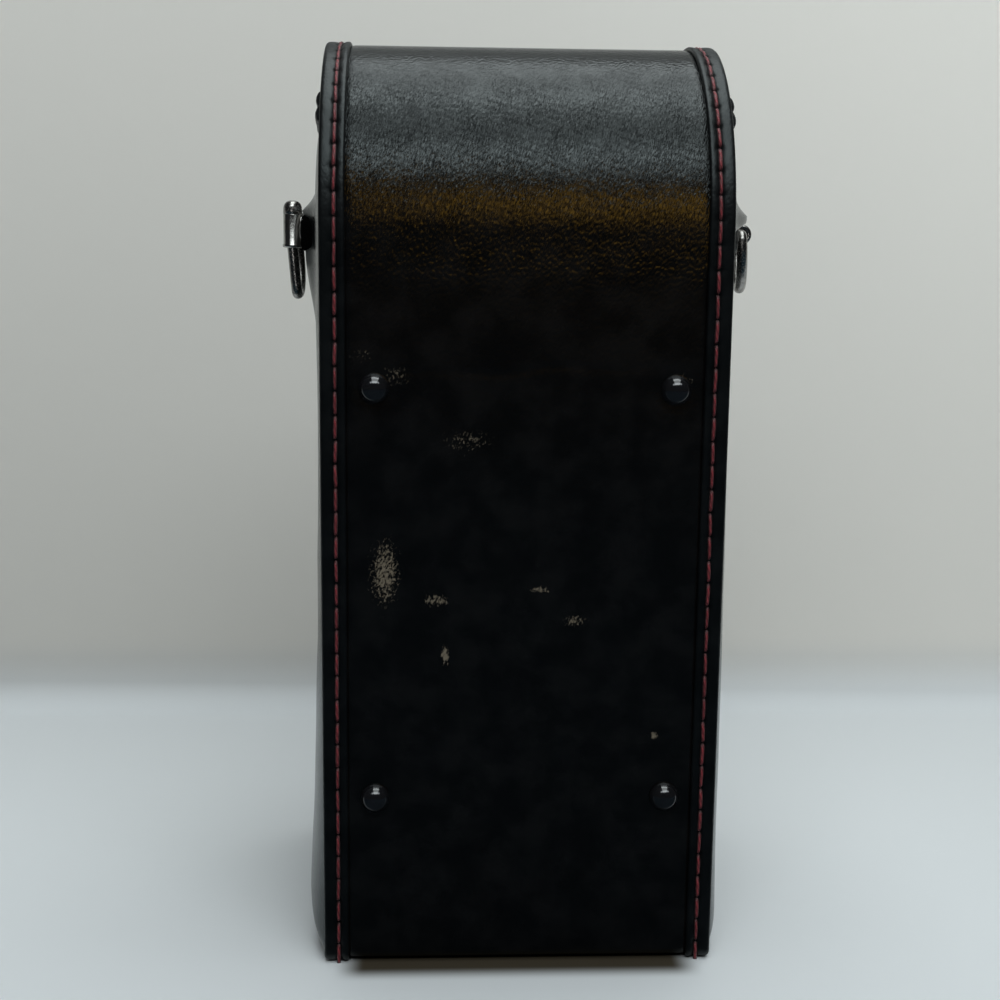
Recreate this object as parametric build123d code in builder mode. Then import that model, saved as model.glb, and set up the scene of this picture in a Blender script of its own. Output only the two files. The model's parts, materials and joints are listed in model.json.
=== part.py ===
from build123d import *
import math
import os

# Hard lens case that stands on its flat base, in millimetres.
# Origin at the centre of the base, +X to the right as seen from the back, +Y to the front, +Z up.
# Seen along X the case is a mailbox: straight back and front, and a half-round top.

# Outside of the case, over the stitched rims
case_height = 248.5
arch_radius = 50.3
rim_half_width = 52.3
arch_z = case_height - arch_radius

# Layers of the walls, from the leather inwards
rim_width = 6.3
rim_proud = 0.9
leather = 1.2
board = 2.6
lining = 1.6
side_plate = 1.3
band_half_width = rim_half_width - side_plate
board_inset = rim_proud + leather
inner_inset = board_inset + board
lining_inset = inner_inset + lining
side_board_x = band_half_width - board
lining_x = side_board_x - lining
foot_corner = 3.0

# Stuffed side panels of the body
panel_rise = 4.2
panel_edge = 1.5
panel_x = rim_half_width + panel_rise
stuffing_inset = 5.0
stuffing_x = panel_x - leather

# Parting between body and lid: from the flexible hinge at the back it runs down to the front
hinge_angle = 33.0
hinge_y = -arch_radius * math.cos(math.radians(hinge_angle))
hinge_z = arch_z + arch_radius * math.sin(math.radians(hinge_angle))
lid_front_z = 198.5
lid_slope = (hinge_z - lid_front_z) / (arch_radius - hinge_y)
lid_tilt = math.atan(lid_slope)
lid_gap = 0.4
hinge_strip_length = 11.0
parting = Plane(
    origin=(0, hinge_y, hinge_z),
    x_dir=(1, 0, 0),
    z_dir=(0, math.sin(lid_tilt), math.cos(lid_tilt)),
)
hinge_plane = Plane(
    origin=(0, hinge_y, hinge_z),
    x_dir=(1, 0, 0),
    z_dir=(
        0,
        -math.cos(math.radians(hinge_angle)),
        math.sin(math.radians(hinge_angle)),
    ),
)

# Binding along the lid's edge, and the stiff collar that the lid closes over
binding_width = 9.0
binding_rise = 1.6
binding_front_half = 45.6
collar_above = 7.0
collar_below = 14.0
collar_thick = 1.2
collar_back_y = -30.0
lid_lining_lift = 9.0

# Seam thread in the middle of each rim
seam_x = 49.0
thread_width = 1.1
thread_rise = 0.5

# Domed feet on the back
foot_x = 39.1
foot_heights = (47.3, 158.0)
foot_radius = 4.0
foot_dome = 3.4
foot_shank = 1.25
foot_washer = 4.0
foot_washer_clearance = 0.5
washer_thick = 0.6

# Strap lugs in the middle of the sides
lug_z = 197.2
mound_back_y = -31.0
mound_front_y = 26.0
mound_low_z = 177.5
mound_high_z = 207.5
mound_front_z = 200.1
mound_rise = 1.8
mound_border = 1.0
lug_plate_length = 42.0
lug_plate_height = 10.0
lug_plate_thick = 1.0
mound_x = panel_x + mound_rise
lug_plate_x = mound_x + lug_plate_thick
lug_rivet_y = 16.5
lug_rivet_head = 2.2
lug_rivet_tail = 2.0
lug_rivet_shank = 1.2
lug_rivet_dome = 0.8
post_radius = 2.0
post_clearance = 0.05
eyelet_radius = 3.0
eyelet_flange = 4.4
eyelet_flange_thick = 0.4
eyelet_inner_flange = 5.2
post_head = 4.2
post_head_thick = 0.8
end_play = 0.1
lining_hole = 6.5

# Strap clip and ring
wire_radius = 1.5
wire_clearance = 0.06
barrel_radius = 2.75
barrel_length = 9.4
barrel_x = 63.3
clip_disc_radius = 4.0
clip_disc_thick = 0.8
clip_neck_width = 2.2
clip_neck_length = 6.4
ring_width = 24.4
ring_depth = 15.6
ring_corner = 1.8
ring_slide = 5.6

# Latch on the front
latch_z = 184.5
lock_width = 26.0
lock_height = 25.0
lock_depth = 4.5
lock_wall = 0.8
lock_ear_half = 18.5
lock_ear_height = 19.0
lock_rivet_x = 15.8
lock_rivet_z = 6.0
lock_rivet_head = 1.8
lock_rivet_tail = 1.6
lock_rivet_shank = 1.0
rivet_dome = 0.7
button_radius = 4.0
button_clearance = 0.05
button_proud = 1.4
button_flange = 5.4
button_flange_thick = 0.8
spring_thick = 0.3
spring_half = 5.0
spring_width = 4.0
hasp_gap = 0.1
hasp_thick = 1.2
hasp_half_width = 11.0
hasp_low_z = latch_z - 10.5
window_width = 9.0
window_low_z = latch_z - 7.3
window_high_z = latch_z + 4.6
leaf_half_width = 13.0
leaf_thick = 1.0
leaf_low_z = lid_front_z + 1.9
leaf_high_z = leaf_low_z + 6.6
leaf_rivet_x = 9.5
leaf_rivet_head = 1.6
leaf_rivet_z = leaf_low_z + 4.5
knuckle_radius = 2.0
hasp_pin_radius = 1.1
hasp_pin_clearance = 0.05
hasp_knuckle_half = 5.0
knuckle_gap = 0.2
knuckle_stand_off = 0.3

# Inside
seat_height = 26.0
seat_pocket_radius = 36.0
seat_pocket_depth = 16.0
seat_gap = 0.3
lid_pad_z = 230.5
lid_pad_half_width = 42.0

front_y = arch_radius - rim_proud
back_y = -front_y
lock_face_y = front_y + lock_depth
binding_y = front_y + binding_rise - 0.2
leaf_y = binding_y + leaf_thick
pin_y = binding_y + knuckle_stand_off + knuckle_radius
pin_z = leaf_low_z + 0.3
hasp_y = lock_face_y + hasp_gap


os.makedirs("parts", exist_ok=True)


def save(name, part):
    part.label = name
    export_step(part, f"parts/{name}.step")


def save_pair(name, right):
    """Writes the right-hand piece and its mirror image for the left."""
    with BuildPart() as left:
        mirror(right, about=Plane.YZ)
    save(f"{name}_right", right)
    save(f"{name}_left", left.part)


def facing_front(y):
    """Sketch plane of local X and Z at this y; a negative extrusion goes to the front."""
    return Plane(origin=(0, y, 0), x_dir=(1, 0, 0), z_dir=(0, -1, 0))


def parting_z(y, offset=0.0):
    """Height of the parting plane at this y, moved by offset along its normal."""
    return hinge_z + offset / math.cos(lid_tilt) - lid_slope * (y - hinge_y)


def outline(inset, floor, corner=0.0):
    """Side profile of the case, as a sketch of local Y and Z."""
    half = arch_radius - inset
    with BuildSketch(mode=Mode.PRIVATE) as profile:
        with BuildLine():
            ThreePointArc((-half, arch_z), (0, arch_z + half), (half, arch_z))
            Polyline((half, arch_z), (half, floor), (-half, floor), (-half, arch_z))
        make_face()
        if corner > 0:
            fillet(profile.vertices().group_by(Axis.Y)[0], corner)
    return profile.sketch


def slab(inset, floor, corner, x_low, x_high, mode=Mode.ADD):
    """The profile as a slab from x_low to x_high."""
    with BuildSketch(Plane.YZ.offset(x_low)) as profile:
        add(outline(inset, floor, corner))
    extrude(profile.sketch, amount=x_high - x_low, mode=mode)


def below_parting(offset):
    """Keeps what lies below the parting in the sketch that is open."""
    far = 90.0
    Polygon(
        (-far, parting_z(-far, offset)),
        (far, parting_z(far, offset)),
        (far, -far),
        (-far, -far),
        align=None,
        mode=Mode.INTERSECT,
    )


def rod_x(y, z, radius, x_low, x_high, mode=Mode.ADD):
    with BuildSketch(Plane.YZ.offset(x_low)) as disc:
        with Locations((y, z)):
            Circle(radius)
    extrude(disc.sketch, amount=x_high - x_low, mode=mode)


def rod_y(x, z, radius, y_low, y_high, mode=Mode.ADD):
    with BuildSketch(facing_front(y_low)) as disc:
        with Locations((x, z)):
            Circle(radius)
    extrude(disc.sketch, amount=y_low - y_high, mode=mode)


def keep_body():
    split(bisect_by=parting.offset(-lid_gap / 2), keep=Keep.BOTTOM)


def keep_lid(lift=0.0):
    split(bisect_by=parting.offset(lid_gap / 2 + lift), keep=Keep.TOP)


def cut_hinge_strip(mode):
    with Locations(hinge_plane):
        Box(3 * rim_half_width, hinge_strip_length, 12.0, mode=mode)


def cut_foot_holes(y_low, y_high, radius):
    for x in (-foot_x, foot_x):
        for z in foot_heights:
            rod_y(x, z, radius, y_low, y_high, Mode.SUBTRACT)


def cut_lock_holes(y_low, y_high, radius):
    for x in (-lock_rivet_x, lock_rivet_x):
        for z in (latch_z - lock_rivet_z, latch_z + lock_rivet_z):
            rod_y(x, z, radius, y_low, y_high, Mode.SUBTRACT)


def cut_leaf_holes(y_low, y_high, radius):
    for x in (-leaf_rivet_x, leaf_rivet_x):
        rod_y(x, leaf_rivet_z, radius, y_low, y_high, Mode.SUBTRACT)


def cut_lug_holes(x_low, x_high):
    """Holes for the eyelet and the two rivets of the right-hand lug."""
    rod_x(0, lug_z, eyelet_radius, x_low, x_high, Mode.SUBTRACT)
    for y in (-lug_rivet_y, lug_rivet_y):
        rod_x(y, lug_z, lug_rivet_shank, x_low, x_high, Mode.SUBTRACT)


# Leather band of the body: up the front, under the base and up the back
with BuildPart() as body_cover:
    slab(rim_proud, 0, 2.4, -band_half_width, band_half_width)
    slab(board_inset, leather, 1.4, -60, 60, Mode.SUBTRACT)
    keep_body()
    cut_hinge_strip(Mode.SUBTRACT)
    cut_foot_holes(back_y - 1, back_y + 4, foot_shank)
    cut_lock_holes(front_y - 4, front_y + 1, lock_rivet_shank)
save("body_cover", body_cover.part)

# Leather band of the lid, over the arch
with BuildPart() as lid_cover:
    slab(rim_proud, 0, 2.4, -band_half_width, band_half_width)
    slab(board_inset, leather, 1.4, -60, 60, Mode.SUBTRACT)
    keep_lid()
    cut_hinge_strip(Mode.SUBTRACT)
    cut_leaf_holes(front_y - 4, front_y + 1, lock_rivet_shank)
save("lid_cover", lid_cover.part)

# Stretch of the band that bends as the lid opens
with BuildPart() as hinge_leather:
    slab(rim_proud, 0, 2.4, -band_half_width, band_half_width)
    slab(board_inset, leather, 1.4, -60, 60, Mode.SUBTRACT)
    cut_hinge_strip(Mode.INTERSECT)
save("hinge_leather", hinge_leather.part)

# Board that the band is glued to, in body and lid
with BuildPart() as body_band_board:
    slab(board_inset, leather, 1.4, -band_half_width, band_half_width)
    slab(inner_inset, leather + board, 0, -60, 60, Mode.SUBTRACT)
    keep_body()
    cut_foot_holes(back_y - 1, back_y + 6, foot_shank)
    cut_lock_holes(front_y - 6, front_y + 1, lock_rivet_shank)
save("body_band_board", body_band_board.part)

with BuildPart() as lid_band_board:
    slab(board_inset, leather, 1.4, -band_half_width, band_half_width)
    slab(inner_inset, leather + board, 0, -60, 60, Mode.SUBTRACT)
    keep_lid()
    cut_leaf_holes(front_y - 6, front_y + 1, lock_rivet_shank)
save("lid_band_board", lid_band_board.part)

# Boards of the sides, inside the band board
with BuildPart() as body_side_board:
    slab(inner_inset, leather + board, 0, side_board_x, band_half_width)
    keep_body()
    cut_lug_holes(side_board_x - 1, band_half_width + 1)
save_pair("body_side_board", body_side_board.part)

with BuildPart() as lid_side_board:
    slab(inner_inset, leather + board, 0, side_board_x, band_half_width)
    keep_lid()
save_pair("lid_side_board", lid_side_board.part)


def stuffing_shape(mode):
    """The stuffing under the leather of a side panel."""
    with BuildSketch(Plane.YZ.offset(band_half_width)) as core:
        add(outline(stuffing_inset, stuffing_inset, 2.0))
        below_parting(-stuffing_inset)
    extrude(core.sketch, amount=stuffing_x - band_half_width, mode=mode)


# Side panels of the body: leather turned over the band as a stitched rim, and stuffed
with BuildPart() as body_side_cover:
    slab(0, 0, foot_corner, rim_half_width - rim_width, rim_half_width)
    slab(rim_proud, -5, 0, 0, band_half_width, Mode.SUBTRACT)
    keep_body()
    with BuildSketch(Plane.YZ.offset(rim_half_width)):
        add(outline(panel_edge, panel_edge, foot_corner))
        below_parting(-panel_edge)
    extrude(amount=panel_rise)
    fillet(body_side_cover.faces().sort_by(Axis.X)[-1].edges(), panel_rise - 0.4)
    stuffing_shape(Mode.SUBTRACT)
    cut_lug_holes(side_board_x, panel_x + 1)
save_pair("body_side_cover", body_side_cover.part)

with BuildPart() as side_stuffing:
    stuffing_shape(Mode.ADD)
    fillet(side_stuffing.faces().sort_by(Axis.X)[-1].edges(), 2.0)
    cut_lug_holes(side_board_x, panel_x + 1)
save_pair("side_stuffing", side_stuffing.part)

with BuildPart() as lid_side_cover:
    slab(0, 0, foot_corner, rim_half_width - rim_width, rim_half_width)
    slab(rim_proud, -5, 0, 0, band_half_width, Mode.SUBTRACT)
    keep_lid()
save_pair("lid_side_cover", lid_side_cover.part)

# Binding stitched along the lid's edge, on the sides and across the front
with BuildPart() as lid_side_binding:
    slab(rim_proud, 0, 0, rim_half_width, rim_half_width + binding_rise)
    keep_lid()
    split(bisect_by=parting.offset(lid_gap / 2 + binding_width), keep=Keep.BOTTOM)
save_pair("lid_side_binding", lid_side_binding.part)

with BuildPart() as lid_front_binding:
    with BuildSketch(facing_front(front_y - 4)):
        with Locations((0, lid_front_z + 0.6)):
            Rectangle(2 * binding_front_half, binding_width, align=(Align.CENTER, Align.MIN))
    extrude(amount=front_y - 4 - binding_y)
    slab(rim_proud, 0, 0, -60, 60, Mode.SUBTRACT)
    cut_leaf_holes(front_y - 5, binding_y + 1, lock_rivet_shank)
    fillet(lid_front_binding.edges().filter_by(Axis.X).group_by(Axis.Y)[-1], 0.4)
save("lid_front_binding", lid_front_binding.part)


def seam(x, keep_half):
    """Raised thread line along a rim, over back, arch and front."""
    with BuildPart() as thread:
        low, high = x - thread_width / 2, x + thread_width / 2
        slab(-thread_rise, foot_corner + 1, 0, low, high)
        slab(0, -5, 0, low - 1, high + 1, Mode.SUBTRACT)
        keep_half()
        cut_hinge_strip(Mode.SUBTRACT)
    return thread.part


save_pair("body_rim_thread", seam(seam_x, keep_body))
save_pair("lid_rim_thread", seam(seam_x, keep_lid))

# Thread along the binding of the lid's sides
with BuildPart() as lid_binding_thread:
    binding_x = rim_half_width + binding_rise
    slab(3.0, 0, 0, binding_x, binding_x + thread_rise)
    split(bisect_by=parting.offset(binding_width / 2), keep=Keep.TOP)
    split(bisect_by=parting.offset(binding_width / 2 + thread_width), keep=Keep.BOTTOM)
save_pair("lid_binding_thread", lid_binding_thread.part)

# Lining of pile cloth, in body and lid
with BuildPart() as body_lining:
    slab(inner_inset, leather + board, 0, -side_board_x, side_board_x)
    slab(lining_inset, leather + board + lining, 0, -lining_x, lining_x, Mode.SUBTRACT)
    keep_body()
    cut_foot_holes(back_y, back_y + 8, foot_washer + foot_washer_clearance)
    cut_lock_holes(front_y - 8, front_y, lock_rivet_head)
    rod_x(0, lug_z, lining_hole, -60, 60, Mode.SUBTRACT)
    for y in (-lug_rivet_y, lug_rivet_y):
        rod_x(y, lug_z, lug_rivet_head, -60, 60, Mode.SUBTRACT)
save("body_lining", body_lining.part)

with BuildPart() as lid_lining:
    slab(inner_inset, leather + board, 0, -side_board_x, side_board_x)
    slab(lining_inset, leather + board + lining, 0, -lining_x, lining_x, Mode.SUBTRACT)
    keep_lid(lid_lining_lift)
save("lid_lining", lid_lining.part)

# Stiff collar round the mouth, on the front and the sides
with BuildPart() as mouth_collar:
    slab(lining_inset, 0, 0, -lining_x, lining_x)
    slab(
        lining_inset + collar_thick,
        -5,
        0,
        collar_thick - lining_x,
        lining_x - collar_thick,
        Mode.SUBTRACT,
    )
    split(bisect_by=parting.offset(collar_above), keep=Keep.BOTTOM)
    split(bisect_by=parting.offset(-collar_below), keep=Keep.TOP)
    split(bisect_by=facing_front(collar_back_y), keep=Keep.BOTTOM)
    rod_x(0, lug_z, lining_hole, -60, 60, Mode.SUBTRACT)
save("mouth_collar", mouth_collar.part)

# Foam seat with a round pocket for the lens, and the pad in the lid
seat_z = leather + board + lining
with BuildPart() as lens_seat:
    with BuildSketch(Plane.XY.offset(seat_z)):
        seat_half_x = lining_x - seat_gap
        seat_half_y = arch_radius - lining_inset - seat_gap
        Rectangle(2 * seat_half_x, 2 * seat_half_y)
    extrude(amount=seat_height)
    with BuildSketch(Plane.XY.offset(seat_z + seat_height)):
        Circle(seat_pocket_radius)
    extrude(amount=-seat_pocket_depth, mode=Mode.SUBTRACT)
save("lens_seat", lens_seat.part)

with BuildPart() as lid_pad:
    slab(lining_inset, 0, 0, -lid_pad_half_width, lid_pad_half_width)
    split(bisect_by=Plane.XY.offset(lid_pad_z), keep=Keep.TOP)
save("lid_pad", lid_pad.part)

# Domed feet with their shanks, and the washers inside
with BuildPart() as back_feet:
    for x in (-foot_x, foot_x):
        for z in foot_heights:
            rod_y(x, z, foot_shank, back_y, back_y + leather + board)
            with BuildSketch(facing_front(back_y)):
                with Locations((x, z)):
                    Circle(foot_radius)
            extrude(amount=foot_dome)
    fillet(back_feet.faces().group_by(Axis.Y)[0].edges(), foot_dome - 0.3)
save("back_feet", back_feet.part)

with BuildPart() as foot_washers:
    washer_y = back_y + leather + board
    for x in (-foot_x, foot_x):
        for z in foot_heights:
            rod_y(x, z, foot_washer, washer_y, washer_y + washer_thick)
save("foot_washers", foot_washers.part)

# Leather mound on the side panel under the lug's plate
with BuildPart() as lug_mound:
    top_half = lug_plate_length / 2 + mound_border
    top_rise = lug_plate_height / 2 + mound_border
    with BuildSketch(Plane.YZ.offset(panel_x)):
        Polygon(
            (mound_back_y, mound_low_z),
            (mound_front_y, mound_low_z),
            (mound_front_y, mound_front_z),
            (0, mound_high_z),
            (mound_back_y, mound_high_z),
            align=None,
        )
    with BuildSketch(Plane.YZ.offset(mound_x)):
        Polygon(
            (-top_half, lug_z - top_rise),
            (top_half, lug_z - top_rise),
            (top_half, mound_front_z - mound_border / 2),
            (0, lug_z + top_rise),
            (-top_half, lug_z + top_rise),
            align=None,
        )
    loft(ruled=True)
    cut_lug_holes(panel_x - 1, mound_x + 1)
save_pair("lug_mound", lug_mound.part)

with BuildPart() as lug_plate:
    with BuildSketch(Plane.YZ.offset(mound_x)):
        with Locations((0, lug_z)):
            RectangleRounded(lug_plate_length, lug_plate_height, 3.0)
    extrude(amount=lug_plate_thick)
    chamfer(lug_plate.faces().sort_by(Axis.X)[-1].edges(), 0.3)
    cut_lug_holes(mound_x - 1, lug_plate_x + 1)
save_pair("lug_plate", lug_plate.part)

with BuildPart() as lug_rivets:
    for y in (-lug_rivet_y, lug_rivet_y):
        rod_x(y, lug_z, lug_rivet_shank, side_board_x, lug_plate_x)
        rod_x(y, lug_z, lug_rivet_head, lug_plate_x, lug_plate_x + lug_rivet_dome)
        rod_x(y, lug_z, lug_rivet_tail, side_board_x - washer_thick, side_board_x)
    fillet(lug_rivets.faces().group_by(Axis.X)[-1].edges(), lug_rivet_dome - 0.1)
save_pair("lug_rivets", lug_rivets.part)

# Flanged eyelet through the wall, in which the post of the strap clip turns
eyelet_out_x = lug_plate_x + eyelet_flange_thick
eyelet_in_x = side_board_x - washer_thick
with BuildPart() as lug_eyelet:
    rod_x(0, lug_z, eyelet_radius, side_board_x, lug_plate_x)
    rod_x(0, lug_z, eyelet_flange, lug_plate_x, eyelet_out_x)
    rod_x(0, lug_z, eyelet_inner_flange, eyelet_in_x, side_board_x)
    rod_x(0, lug_z, post_radius + post_clearance, 0, 80, Mode.SUBTRACT)
save_pair("lug_eyelet", lug_eyelet.part)

clip_in_x = eyelet_out_x + end_play
clip_disc_x = clip_in_x + clip_disc_thick
post_end_x = clip_in_x + clip_disc_thick / 2
with BuildPart() as swivel_post:
    rod_x(0, lug_z, post_radius, eyelet_in_x - end_play, post_end_x)
    rod_x(0, lug_z, post_head, eyelet_in_x - end_play - post_head_thick, eyelet_in_x - end_play)
save_pair("swivel_post", swivel_post.part)


def strap_clip(standing):
    """Sheet-metal clip: a disc on the post, a neck, and the rolled barrel round the ring."""
    bore_radius = wire_radius + wire_clearance
    with BuildPart() as clip:
        rod_x(0, lug_z, clip_disc_radius, clip_in_x, clip_disc_x)
        along = (0, 0, 1) if standing else (0, 1, 0)
        axis_plane = Plane(origin=(barrel_x, 0, lug_z), x_dir=(1, 0, 0), z_dir=along)
        with BuildSketch(Plane.YZ.offset(clip_disc_x)):
            with Locations((0, lug_z)):
                Rectangle(clip_neck_length, clip_neck_width, rotation=90 if standing else 0)
        extrude(amount=barrel_x - clip_disc_x)
        with BuildSketch(axis_plane.offset(-barrel_length / 2)):
            Circle(barrel_radius)
        extrude(amount=barrel_length)
        with BuildSketch(axis_plane.offset(-barrel_length)):
            Circle(bore_radius)
        extrude(amount=2 * barrel_length, mode=Mode.SUBTRACT)
        rod_x(0, lug_z, post_radius, clip_in_x - 1, post_end_x, Mode.SUBTRACT)
    return clip.part


def strap_ring(ring_plane):
    """Wire ring: a straight bar in the clip's barrel, two short legs and a half-round bow."""
    half = ring_width / 2
    leg = ring_depth - half
    with BuildPart() as ring:
        with BuildLine(ring_plane) as path:
            FilletPolyline((-half, leg), (-half, 0), (half, 0), (half, leg), radius=ring_corner)
            ThreePointArc((half, leg), (0, leg + half), (-half, leg))
        with BuildSketch(Plane(origin=path.line @ 0, z_dir=path.line % 0)):
            Circle(wire_radius)
        sweep()
    return ring.part


save("strap_clip_right", strap_clip(False))
with BuildPart() as strap_clip_left:
    mirror(strap_clip(True), about=Plane.YZ)
save("strap_clip_left", strap_clip_left.part)

# The right ring hangs down from a level barrel
hanging = Plane(origin=(barrel_x, 0, lug_z), x_dir=(0, -1, 0), z_dir=(1, 0, 0))
save("strap_ring_right", strap_ring(hanging))

# The left ring has slid down in an upright barrel, with its bow to the front
slid_down = Plane(
    origin=(-barrel_x, 0, lug_z - ring_slide), x_dir=(0, 0, -1), z_dir=(1, 0, 0)
)
save("strap_ring_left", strap_ring(slid_down))

# Lock case with ears on the front of the body, and its rivets
with BuildPart() as lock_case:
    with BuildSketch(facing_front(front_y)):
        with Locations((0, latch_z)):
            RectangleRounded(2 * lock_ear_half, lock_ear_height, 2.5)
    extrude(amount=-lock_wall)
    with BuildSketch(facing_front(front_y)):
        with Locations((0, latch_z)):
            RectangleRounded(lock_width, lock_height, 2.5)
    extrude(amount=-lock_depth)
    fillet(lock_case.faces().sort_by(Axis.Y)[-1].edges(), 0.7)
    with BuildSketch(facing_front(front_y)):
        with Locations((0, latch_z)):
            RectangleRounded(lock_width - 2 * lock_wall, lock_height - 2 * lock_wall, 1.7)
    extrude(amount=lock_wall - lock_depth, mode=Mode.SUBTRACT)
    rod_y(0, latch_z, button_radius + button_clearance, front_y, 80, Mode.SUBTRACT)
    cut_lock_holes(front_y - 1, front_y + 2, lock_rivet_shank)
save("lock_case", lock_case.part)

inner_y = front_y - leather - board
lock_rivet_y = front_y + lock_wall
with BuildPart() as lock_rivets:
    for x in (-lock_rivet_x, lock_rivet_x):
        for z in (latch_z - lock_rivet_z, latch_z + lock_rivet_z):
            rod_y(x, z, lock_rivet_shank, inner_y, lock_rivet_y)
            rod_y(x, z, lock_rivet_head, lock_rivet_y, lock_rivet_y + rivet_dome)
            rod_y(x, z, lock_rivet_tail, inner_y - washer_thick, inner_y)
    fillet(lock_rivets.faces().group_by(Axis.Y)[-1].edges(), rivet_dome - 0.1)
save("lock_rivets", lock_rivets.part)

# Push button, and the leaf spring behind it
button_in_y = lock_face_y - lock_wall - end_play - button_flange_thick
with BuildPart() as push_button:
    rod_y(0, latch_z, button_flange, button_in_y, button_in_y + button_flange_thick)
    rod_y(0, latch_z, button_radius, button_in_y, lock_face_y + button_proud)
    fillet(push_button.faces().sort_by(Axis.Y)[-1].edges(), 0.6)
save("push_button", push_button.part)

spring_low_y = front_y + end_play
spring_high_y = button_in_y - end_play / 2
with BuildPart() as button_spring:
    with BuildSketch(Plane.XY.offset(latch_z - spring_width / 2)):
        with BuildLine():
            ThreePointArc((-spring_half, spring_low_y), (0, spring_high_y), (spring_half, spring_low_y))
            Line((spring_half, spring_low_y), (spring_half - spring_thick, spring_low_y))
            ThreePointArc(
                (spring_half - spring_thick, spring_low_y),
                (0, spring_high_y - spring_thick),
                (spring_thick - spring_half, spring_low_y),
            )
            Line((spring_thick - spring_half, spring_low_y), (-spring_half, spring_low_y))
        make_face()
    extrude(amount=spring_width)
save("button_spring", button_spring.part)

# Hinge leaf of the hasp on the lid, its rivets and its pin
with BuildPart() as hasp_leaf:
    with BuildSketch(facing_front(binding_y)):
        with Locations((0, leaf_low_z)):
            Rectangle(2 * leaf_half_width, leaf_high_z - leaf_low_z, align=(Align.CENTER, Align.MIN))
    extrude(amount=-leaf_thick)
    for x_low, x_high in (
        (-leaf_half_width, -hasp_knuckle_half - knuckle_gap),
        (hasp_knuckle_half + knuckle_gap, leaf_half_width),
    ):
        rod_x(pin_y, pin_z, knuckle_radius, x_low, x_high)
    with BuildSketch(facing_front(binding_y)):
        with Locations((0, pin_z)):
            Rectangle(2 * hasp_knuckle_half + 2 * knuckle_gap, 2 * knuckle_radius + 0.6)
    extrude(amount=-4, mode=Mode.SUBTRACT)
    rod_x(pin_y, pin_z, hasp_pin_radius, -40, 40, Mode.SUBTRACT)
    cut_leaf_holes(front_y, leaf_y + 1, lock_rivet_shank)
save("hasp_leaf", hasp_leaf.part)

board_inner_radius = arch_radius - inner_inset
tail_rise = leaf_rivet_z + leaf_rivet_head - arch_z
tail_y = math.sqrt(board_inner_radius**2 - tail_rise**2) - 0.05
with BuildPart() as hasp_rivets:
    for x in (-leaf_rivet_x, leaf_rivet_x):
        rod_y(x, leaf_rivet_z, lock_rivet_shank, tail_y, leaf_y)
        rod_y(x, leaf_rivet_z, leaf_rivet_head, leaf_y, leaf_y + rivet_dome)
        rod_y(x, leaf_rivet_z, leaf_rivet_head, tail_y - washer_thick, tail_y)
    fillet(hasp_rivets.faces().group_by(Axis.Y)[-1].edges(), rivet_dome - 0.1)
save("hasp_rivets", hasp_rivets.part)

with BuildPart() as hasp_pin:
    rod_x(pin_y, pin_z, hasp_pin_radius, -leaf_half_width, leaf_half_width)
save("hasp_pin", hasp_pin.part)

# Hasp that folds down over the lock case, with a window for the button
with BuildPart() as hasp:
    with BuildSketch(facing_front(hasp_y)):
        with BuildLine():
            Polyline(
                (-hasp_half_width, hasp_low_z + 4),
                (-hasp_half_width, leaf_low_z - 4),
                (-hasp_knuckle_half, leaf_low_z - 2),
                (-hasp_knuckle_half, pin_z),
                (hasp_knuckle_half, pin_z),
                (hasp_knuckle_half, leaf_low_z - 2),
                (hasp_half_width, leaf_low_z - 4),
                (hasp_half_width, hasp_low_z + 4),
            )
            ThreePointArc(
                (hasp_half_width, hasp_low_z + 4),
                (0, hasp_low_z),
                (-hasp_half_width, hasp_low_z + 4),
            )
        make_face()
        with Locations((0, (window_low_z + window_high_z) / 2)):
            SlotOverall(
                window_high_z - window_low_z, window_width, rotation=90, mode=Mode.SUBTRACT
            )
    extrude(amount=-hasp_thick)
    rod_x(pin_y, pin_z, knuckle_radius, -hasp_knuckle_half, hasp_knuckle_half)
    rod_x(pin_y, pin_z, hasp_pin_radius + hasp_pin_clearance, -40, 40, Mode.SUBTRACT)
save("hasp", hasp.part)
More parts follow.
